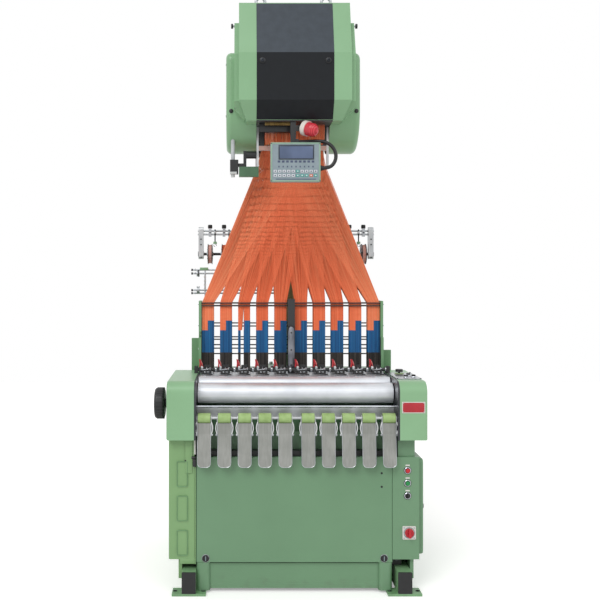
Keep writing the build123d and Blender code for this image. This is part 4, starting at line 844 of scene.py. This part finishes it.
# Front panel: two vent plugs near its right edge, and a washer and a key slot on each latch knob
panelParts = [bar((364, 41, z), (364, 38.8, z), 4.6, nylon, 18, 0.5) for z in (511, 453)]
for x in (-387, 374):
    panelParts += [ring((x, 39.2, 148), behind, 15.5, 1.6, zinc, 34, 8),
                   block((x - 1.6, 33.0, 138.5), (x + 1.6, 35.5, 157.5), greyAbs, 0.6)]
finishPiece("panel_fittings", panelParts)

# Left case: bracket over its top pad, pale strip and dark clamp beside it, skirt above the foot beam
stripParts = [block((-474, 34.5, 512), (-444, 38.5, 657), greenCase, 1.2),
              block((-436.5, 33, 592), (-429, 38, 678), paleAbs, 1.0),
              screw((-473, 35.6, 566), ahead, 3.2, 2.4, oxide),
              block((-441, 30, 540), (-427, 44, 572), oxide, 2.0),
              bar((-447, 37, 578), (-428, 37, 578), 6, oxide, 16, 1.0)]
finishPiece("left_strip_bracket", stripParts)
skirtParts = [block((-498, 39, 124), (-433.5, 60, 148), greenCase, 1.5),
              block((-434, 37, 124), (-429, 60, 538), greenCase, 1.0)]
finishPiece("left_case_skirt", skirtParts)

# Raised bead round each pressed panel of the left case
pads = {"left": -508.0, "width": 43.0, "low": 163.0, "height": 105.0, "step": 146.5, "count": 3,
        "face": 34.2, "corner": 5}
beadParts = []
for k in range(pads["count"]):
    x0, z0, bend = pads["left"], pads["low"] + k * pads["step"], pads["corner"]
    x1, z1 = x0 + pads["width"], z0 + pads["height"]
    upright, level = (z0 + bend, (z0 + z1) / 2, z1 - bend), (x0 + bend, x1 - bend)
    loop = [(x0, z) for z in upright + (z1,)] + [(x, z1) for x in level + (x1,)]
    loop += [(x1, z) for z in upright[::-1] + (z0,)] + [(x, z0) for x in level[::-1] + (x0,)]
    beadParts.append(tube([(x, pads["face"], z) for x, z in loop], 1.3, greenPosts, closed=True,
                          resolution=2))
finishPiece("pressed_panel_beads", beadParts)
print("front fittings ready")

# Weaving zone: at each lane a clip lever, its silver foot, the curved weft needle and a needle spring
leverRed = mouldedPlastic("lever_red_nylon", "#C5323A", "#AE2730", 0.3)
needlePale = mouldedPlastic("needle_guard_pink", "#D98A86", "#CC7C79", 0.35)
needleBar = (350, 921)
station = [
    tube([(-30, 343, 968), (-29.5, 342, 956), (-25, 341, 949), (-23, 341, 940), (-18, 342, 934)], 2.2,
         leverRed),
    tube([(-27, 342.5, 962), (-23, 341.5, 953), (-21, 341.5, 944)], 1.5, needlePale),
    block((-28, 336, 923), (-19, 341, 938), bareSteel, 1.2),
    screw((-21, 336.3, 929.5), ahead, 4.0, 3.0, zinc),
    tube([(-14, 331, 926), (-8, 326, 922), (-3, 320, 911), (4, 312, 905), (20, 305, 903)], 3.2, oxide),
    block((14, 298, 900.5), (27, 312, 905), oxide, 1.4),
    bar((-12, 333, 911), (11, 333, 911), 2.6, zinc, 12, 0.4),
    tube([(14, 340, 926), (20, 326, 931), (17, 312, 930), (4, 303, 927), (-14, 301, 925), (-27, 306, 924)],
         1.4, chrome),
    block((12, 332, 922), (17, 340, 931), bareSteel, 1.0),
    ring((-2, *needleBar), rightward, 10.5, 1.6, zinc, 28, 8),
    bar((24, 331, 900), (24, 331, 906), 7, zinc, 6, 0.8),
    bar((24, 331, 905.5), (24, 331, 914), 4, bareSteel, 14, 0.6),
    block((-28, 250, 899.5), (28, 296, 901.2), bareSteel, 0.6)]
finishPiece("weft_stations", repeatAt(station, harness["lanes"]))

# Deck: a black bar along its front lip, screws on the lip and stop collars on the needle bar
deckParts = [block((-426, 243.5, 888), (426, 247, 899), oxide, 1.0)]
deckParts += screws([(-344 + k * 86, 243.8, 893.5) for k in range(9)], ahead, 3.4, 2.6, zinc)
for lane in harness["lanes"]:
    deckParts += [bar((lane + 37, *needleBar), (lane + 45, *needleBar), 12.5, zinc, 24, 1.0),
                  screw((lane + 41, needleBar[0] - 11.5, needleBar[1]), ahead, 2.6, 2.0, oxide)]
finishPiece("deck_bar_and_collars", deckParts)

# Middle upright's grey rounded guard, comber stays and bolts in the green posts
# handled, dull in the middle
guardSteel = brushedMetal("worn_guard_steel", "#8E9096", "#5C5E66", 0.4, (60.0, 60.0, 12.0))
guardOutline = [(-17, 918), (13, 918), (14, 1000), (13.5, 1090), (10, 1112), (-2, 1120), (-13, 1112),
                (-17, 1090), (-18, 1000)]
stayParts = [plate(guardOutline, 366, 14, guardSteel, 4.0)]
for x, low, high in ((-427, 917, 1093), (427, 926, 1066)):
    stayParts.append(block((x - 6, 425, low), (x + 6, 434, high), oxide, 1.2))
stayParts += screws([(-2, 366.5, z) for z in (940, 1010, 1090)], ahead, 4, 2.4, oxide)
for side, postX in ((-1, -467), (1, 477)):
    stayParts.append(screw((postX, 462, 900), ahead, 4.5, 3.5, zinc))
    stayParts += [bar((side * 434, 427, z), (side * 434, 432, z), 5, zinc, 6, 0.5)
                  for z in (1010, 1120, 1220)]
finishPiece("harness_stays", stayParts)
print("weaving zone ready")

# Yarn feeders: wound yarn, trim rings and screws on each wheel, which turn with it
feed = {"axis": (875.0, 1471.0), "first": -397.0, "pitch": 73.0, "count": 12, "wound": 47.0, "turns": 6,
        "turnStep": 3.0,
        "pink": (0, 5, 11)}
# soft spun yarn, lit through its fuzz
yarnOrange = strandMaterial("wound_yarn_orange", "#C85A34", "#E07A50", "#F2A07C", 0.7)
yarnPink = strandMaterial("wound_yarn_pale_pink", "#D9A79C", "#EBC8BF", "#F8E4DE", 0.7)
axisY = feed["axis"][0]
wheelTrim, clampTrim = [], []
for k in range(feed["count"]):
    x = feed["first"] + feed["pitch"] * k
    yarn = yarnPink if k in feed["pink"] else yarnOrange
    for turn in range(feed["turns"]):
        wheelTrim.append(ring((x - 7.5 + turn * feed["turnStep"], *feed["axis"]), rightward, feed["wound"],
                              1.9, yarn, 40, 8))
    for side in (-1, 1):
        wheelTrim += [ring((x + side * 12.2, *feed["axis"]), rightward, 41, 1.1,
                           redAbs if k % 2 else paleAbs, 36, 6),
                      bar((x + side * 12, *feed["axis"]), (x + side * 17, *feed["axis"]), 13, zinc, 24, 0.8)]
        wheelTrim += screws([(x + side * 12, y, z) for y, z in roundAxis(feed["axis"], 27, 3)], (side, 0, 0),
                            3.4, 2.6, bareSteel)
    # clamp over the wheel: ten grip bars round a black knob, a screw and a parting line
    clampTrim += [bar((*grip, 1606), (*grip, 1622), 2.1, nylon, 8, 0.5)
                  for grip in roundAxis((x, axisY), 9.6, 10)]
    clampTrim += [bar((x, axisY, 1604.2), (x, axisY, 1624.6), 10.3, nylon, 24, 1.6),
                  screw((x, 860.2, 1583), ahead, 3.6, 3.0, oxide),
                  block((x - 7.4, 861, 1581.6), (x + 7.4, 889, 1584.4), oxide, 0.5)]
finishPiece("wound_yarn", wheelTrim, body="feeder_wheels")
finishPiece("feed_clamp_knobs", clampTrim)

# Ends of the feed frame: yarn brake stems under the clamps, collars on the shaft and plate bolts
endParts = []
for k, shift in ((0, 26), (1, 26), (10, -26), (11, -26)):
    x = feed["first"] + feed["pitch"] * k + shift
    endParts += [bar((x, 868, 1528), (x, 868, 1600), 3.2, darkSteel, 14, 0.5),
                 block((x - 9, 861, 1522), (x + 9, 876, 1536), greenCast, 1.4),
                 block((x - 6, 861, 1578), (x + 6, 866, 1589), bareSteel, 1.0),
                 ring((x, 860, 1516), behind, 6.5, 1.5, chrome, 28, 8)]
for side in (-1, 1):
    endParts += [bar((side * 436, *feed["axis"]), (side * 428, *feed["axis"]), 12, zinc, 24, 1.0),
                 bar((side * 457.5, *feed["axis"]), (side * 460, *feed["axis"]), 14, nylon, 24, 0.8)]
    endParts += screws([(side * 457.2, axisY, z) for z in (1574, 1592)], (side, 0, 0), 5, 3.4, zinc)
    endParts += screws([(side * 444, 855.4, z) for z in (1452, 1520, 1548)], ahead, 3.8, 3.0, oxide)
finishPiece("feed_frame_ends", endParts)

# Guide arm on the left: knobs at the rod ends, thread eyes and the small green plate over the pulleys
armParts = [block((-442, 687, 1384), (-400, 692, 1398), greenCast, 1.4)]
for z in (1269, 1284, 1368, 1386):
    armParts += [bar((-486, 700, z), (-478, 700, z), 6, nylon, 16, 1.0),
                 ring((-466, 695.5, z), rightward, 6.0, 1.2, chrome, 24, 6),
                 screw((-416, 690.8, z), ahead, 4, 3, zinc)]
armParts += [ring((-416, 688, z), behind, 4.6, 1.3, paleAbs, 24, 8) for z in (1290, 1310, 1330, 1350)]
armParts += [bar((-451, 700, 1368), (-446, 700, 1368), 17.2, nylon, 30, 0.8),
             bar((-457.5, 700, 1284), (-444, 700, 1284), 9, zinc, 24, 0.8)]
finishPiece("guide_arm_fittings", armParts)
print("yarn feed ready")

# Louvres pressed out of a cover, one above another: a sloped hood over each slot, and a thin black block in
# the slot as painted shade
def louvres(centre, lows, halfWidths, hoodFace, slot, material):
    foot, top = halfWidths
    front, back, drop = slot
    parts = []
    for z in lows:
        hood = [(centre - foot, z), (centre + foot, z), (centre + top, z + 9), (centre - top, z + 9)]
        parts += [plate(hood, hoodFace, 5, material, 1.6),
                  block((centre - top, front, z - drop), (centre + top, back, z), nylon, 0)]
    return parts


# Back cover: three columns of louvres, screws round its edge and two lifting handles
rearCover = {"columns": (-230, 0, 230), "lows": range(620, 791, 19), "screwFace": 902.6,
             "handles": (-290, 290), "handleHeight": 420,
             "handleLine": ((-55, 902), (-55, 922), (-50, 931), (0, 932), (50, 931), (55, 922), (55, 902))}
rearParts = []
for column in rearCover["columns"]:
    rearParts += louvres(column, rearCover["lows"], (70, 66), 903, (903, 904, 3.2), greenPanel)
for xs, zs in (((-372, -186, 0, 186, 372), (184, 826)), ((-377, 377), (345, 505, 665))):
    rearParts += screws(product(xs, (rearCover["screwFace"],), zs), behind, 5, 4, zinc)
for x in rearCover["handles"]:
    rearParts.append(tube([(x + dx, y, rearCover["handleHeight"]) for dx, y in rearCover["handleLine"]], 5,
                          nylon))
finishPiece("rear_cover_fittings", rearParts)

# Left gear case: screwed inspection cover, oil level glass, plugs and screws on its outer side and back
gearCase = {"cover": ((-548, 180, 170), (-544.5, 620, 560)), "coverFace": -547.8, "side": -544.8,
            "back": 899.6}
caseParts = [block(*gearCase["cover"], greenCase, 1.4)]
for ys, zs in (((200, 400, 600), (188, 542)), ((194, 606), (300, 430))):
    caseParts += screws(product((gearCase["coverFace"],), ys, zs), leftward, 5.5, 4, zinc)
caseParts += [bar((-544, 740, 240), (-551, 740, 240), 18, zinc, 30, 1.0),
              bar((-550, 740, 240), (-552.5, 740, 240), 12, limeRubber, 26, 0.6),
              bar((-544, 700, 165), (-556, 700, 165), 11, oxide, 6, 1.0),
              bar((-486, 700, 657), (-486, 700, 672), 16, nylon, 12, 1.6)]
caseParts += screws(product((gearCase["side"],), (560, 660, 760, 860), (165, 632)), leftward, 4.5, 3.2, oxide)
caseParts += screws(product((-486,), (gearCase["back"],), (180, 360, 540)), behind, 5, 4, zinc)
finishPiece("gear_case_cover", caseParts)

# Right case: pressed vent slots, each with a black strip in it as painted shade, and screws and a plug on its
# outer side
rightCase = {"face": 508, "vents": range(470, 783, 24), "screws": ((508.8,), (370, 620, 880), (165, 632))}
rightParts = []
for y in rightCase["vents"]:
    rightParts += [block((rightCase["face"], y, 420), (510.5, y + 9, 560), greenPanel, 1.0),
                   block((rightCase["face"], y + 9, 424), (509.6, y + 13, 556), nylon, 0)]
rightParts += screws(product(*rightCase["screws"]), rightward, 4.8, 3.4, zinc)
rightParts.append(bar((rightCase["face"], 780, 200), (520, 780, 200), 15, nylon, 24, 1.5))
finishPiece("right_case_fittings", rightParts)

# Cabinet door: barrel hinges at its back edge, a key lock at its front edge, a rubber seal behind
door = {"hinges": (215, 500), "hingeAxis": (531, 331), "lock": (84, 362),
        "seal": (523, (64, 195, 326), (158, 300, 566))}
doorParts = []
for z in door["hinges"]:
    doorParts += [bar((*door["hingeAxis"], z - 22), (*door["hingeAxis"], z + 22), 5.2, zinc, 20, 0.8),
                  block((523, 326, z - 20), (533, 333, z + 20), zinc, 1.0)]
    doorParts += screws([(546.6, 312, z + dz) for dz in (-12, 12)], rightward, 3.2, 2.4, zinc)
doorParts += [bar((546, *door["lock"]), (550, *door["lock"]), 13, nylon, 30, 1.2),
              bar((549.6, *door["lock"]), (551.4, *door["lock"]), 7.5, zinc, 24, 0.6),
              # the key slot is a dark bar on the lock's face, painted shade in place of the slot
              block((550.9, 81, 360.8), (552.2, 87, 363.2), oxide, 0.2)]
finishPiece("cabinet_door_fittings", doorParts)
sealX, (sealFront, sealMiddle, sealBack), (sealLow, sealWaist, sealHigh) = door["seal"]
sealLoop = [(sealFront, sealLow), (sealFront, sealWaist), (sealFront, sealHigh), (sealMiddle, sealHigh),
            (sealBack, sealHigh),
            (sealBack, sealWaist), (sealBack, sealLow), (sealMiddle, sealLow)]
finishPiece("cabinet_door_seal", [tube([(sealX, y, z) for y, z in sealLoop], 2.2, nylon, closed=True,
                                       resolution=2)])

# Rear column: flange bolts with washers, a wiring duct up its back with clamps, side screws and ribs
column = {"boltXs": (-80, 0, 80), "boltYs": (630, 830), "clampLow": 980, "clampStep": 155, "clamps": 7,
          "side": 59.6}
columnParts = []
for x, y in product(column["boltXs"], column["boltYs"]):
    columnParts += [bar((x, y, 900), (x, y, 912), 11, zinc, 6, 1.0),
                    bar((x, y, 899.4), (x, y, 901.6), 15, zinc, 26, 0.4)]
columnParts.append(block((-24, 809, 930), (24, 826, 1975), greyAbs, 2.0))
for k in range(column["clamps"]):
    z = column["clampLow"] + k * column["clampStep"]
    columnParts.append(block((-32, 808, z), (32, 829, z + 12), bareSteel, 1.0))
    columnParts += screws(product((-28.5, 28.5), (828.6,), (z + 6,)), behind, 2.4, 2.0, zinc)
for side in (-1, 1):
    columnParts += screws(product((side * column["side"],), (730,), (1000, 1240, 1480, 1720, 1930)),
                          (side, 0, 0), 5.5, 4, zinc)
    columnParts.append(block((side * 60.8 - 1.4, 690, 1040), (side * 60.8 + 1.4, 770, 1700), greenCast, 1.2))
finishPiece("column_duct_and_bolts", columnParts)

# Head from behind and above: louvred cooling cover, lid plate and screws; side covers have corner screws and
# a pressed rib
headCover = {"plate": ((-150, 748.5, 2130), (150, 752, 2308)), "lows": range(2148, 2282, 19), "face": 751.6,
             "lidFace": 2559.4,
             "corners": ((284, 2080), (300, 2318), (556, 2318), (562, 2080)), "side": 302.4}
headParts = [block(*headCover["plate"], greenCast, 1.6)]
headParts += louvres(0, headCover["lows"], (120, 115), 751.5, (751.4, 752.6, 3), greenCast)
headParts += screws(product((-140, 140), (headCover["face"],), (2140, 2298)), behind, 5, 3.6, zinc)
for side in (-1, 1):
    headParts += screws([(side * headCover["side"], y, z) for y, z in headCover["corners"]], (side, 0, 0), 6,
                        1.6, darkSteel)
    headParts.append(block((side * 302.6 - 1.4, 330, 2150), (side * 302.6 + 1.4, 516, 2222), greenCast, 1.2))
headParts += screws(product((-120, 120), (330, 480, 630), (headCover["lidFace"],)), upward, 5, 3.6, zinc)
headParts.append(block((-100, 360, 2559), (100, 600, 2561.5), greenCast, 1.6))
finishPiece("head_covers_fittings", headParts)

# Control desk: corner screws, bezels round its buttons and a dark inset
desk = {"screws": ((441, 541), (90, 325), (908.6,)), "buttons": ((489, 150), (524, 160), (513, 220)),
        "mushroom": (485, 290)}
deskParts = screws(product(*desk["screws"]), upward, 3.4, 2.4, oxide)
deskParts += [ring((x, y, 909.6), upward, 11.5, 1.8, chrome, 32, 8) for x, y in desk["buttons"]]
deskParts += [ring((*desk["mushroom"], 909.4), upward, 20, 1.6, limeRubber, 36, 8),
              block((455, 185, 908.6), (500, 250, 909.8), nylon, 0.5)]
finishPiece("desk_bezels", deskParts)
print("rear and sides ready")
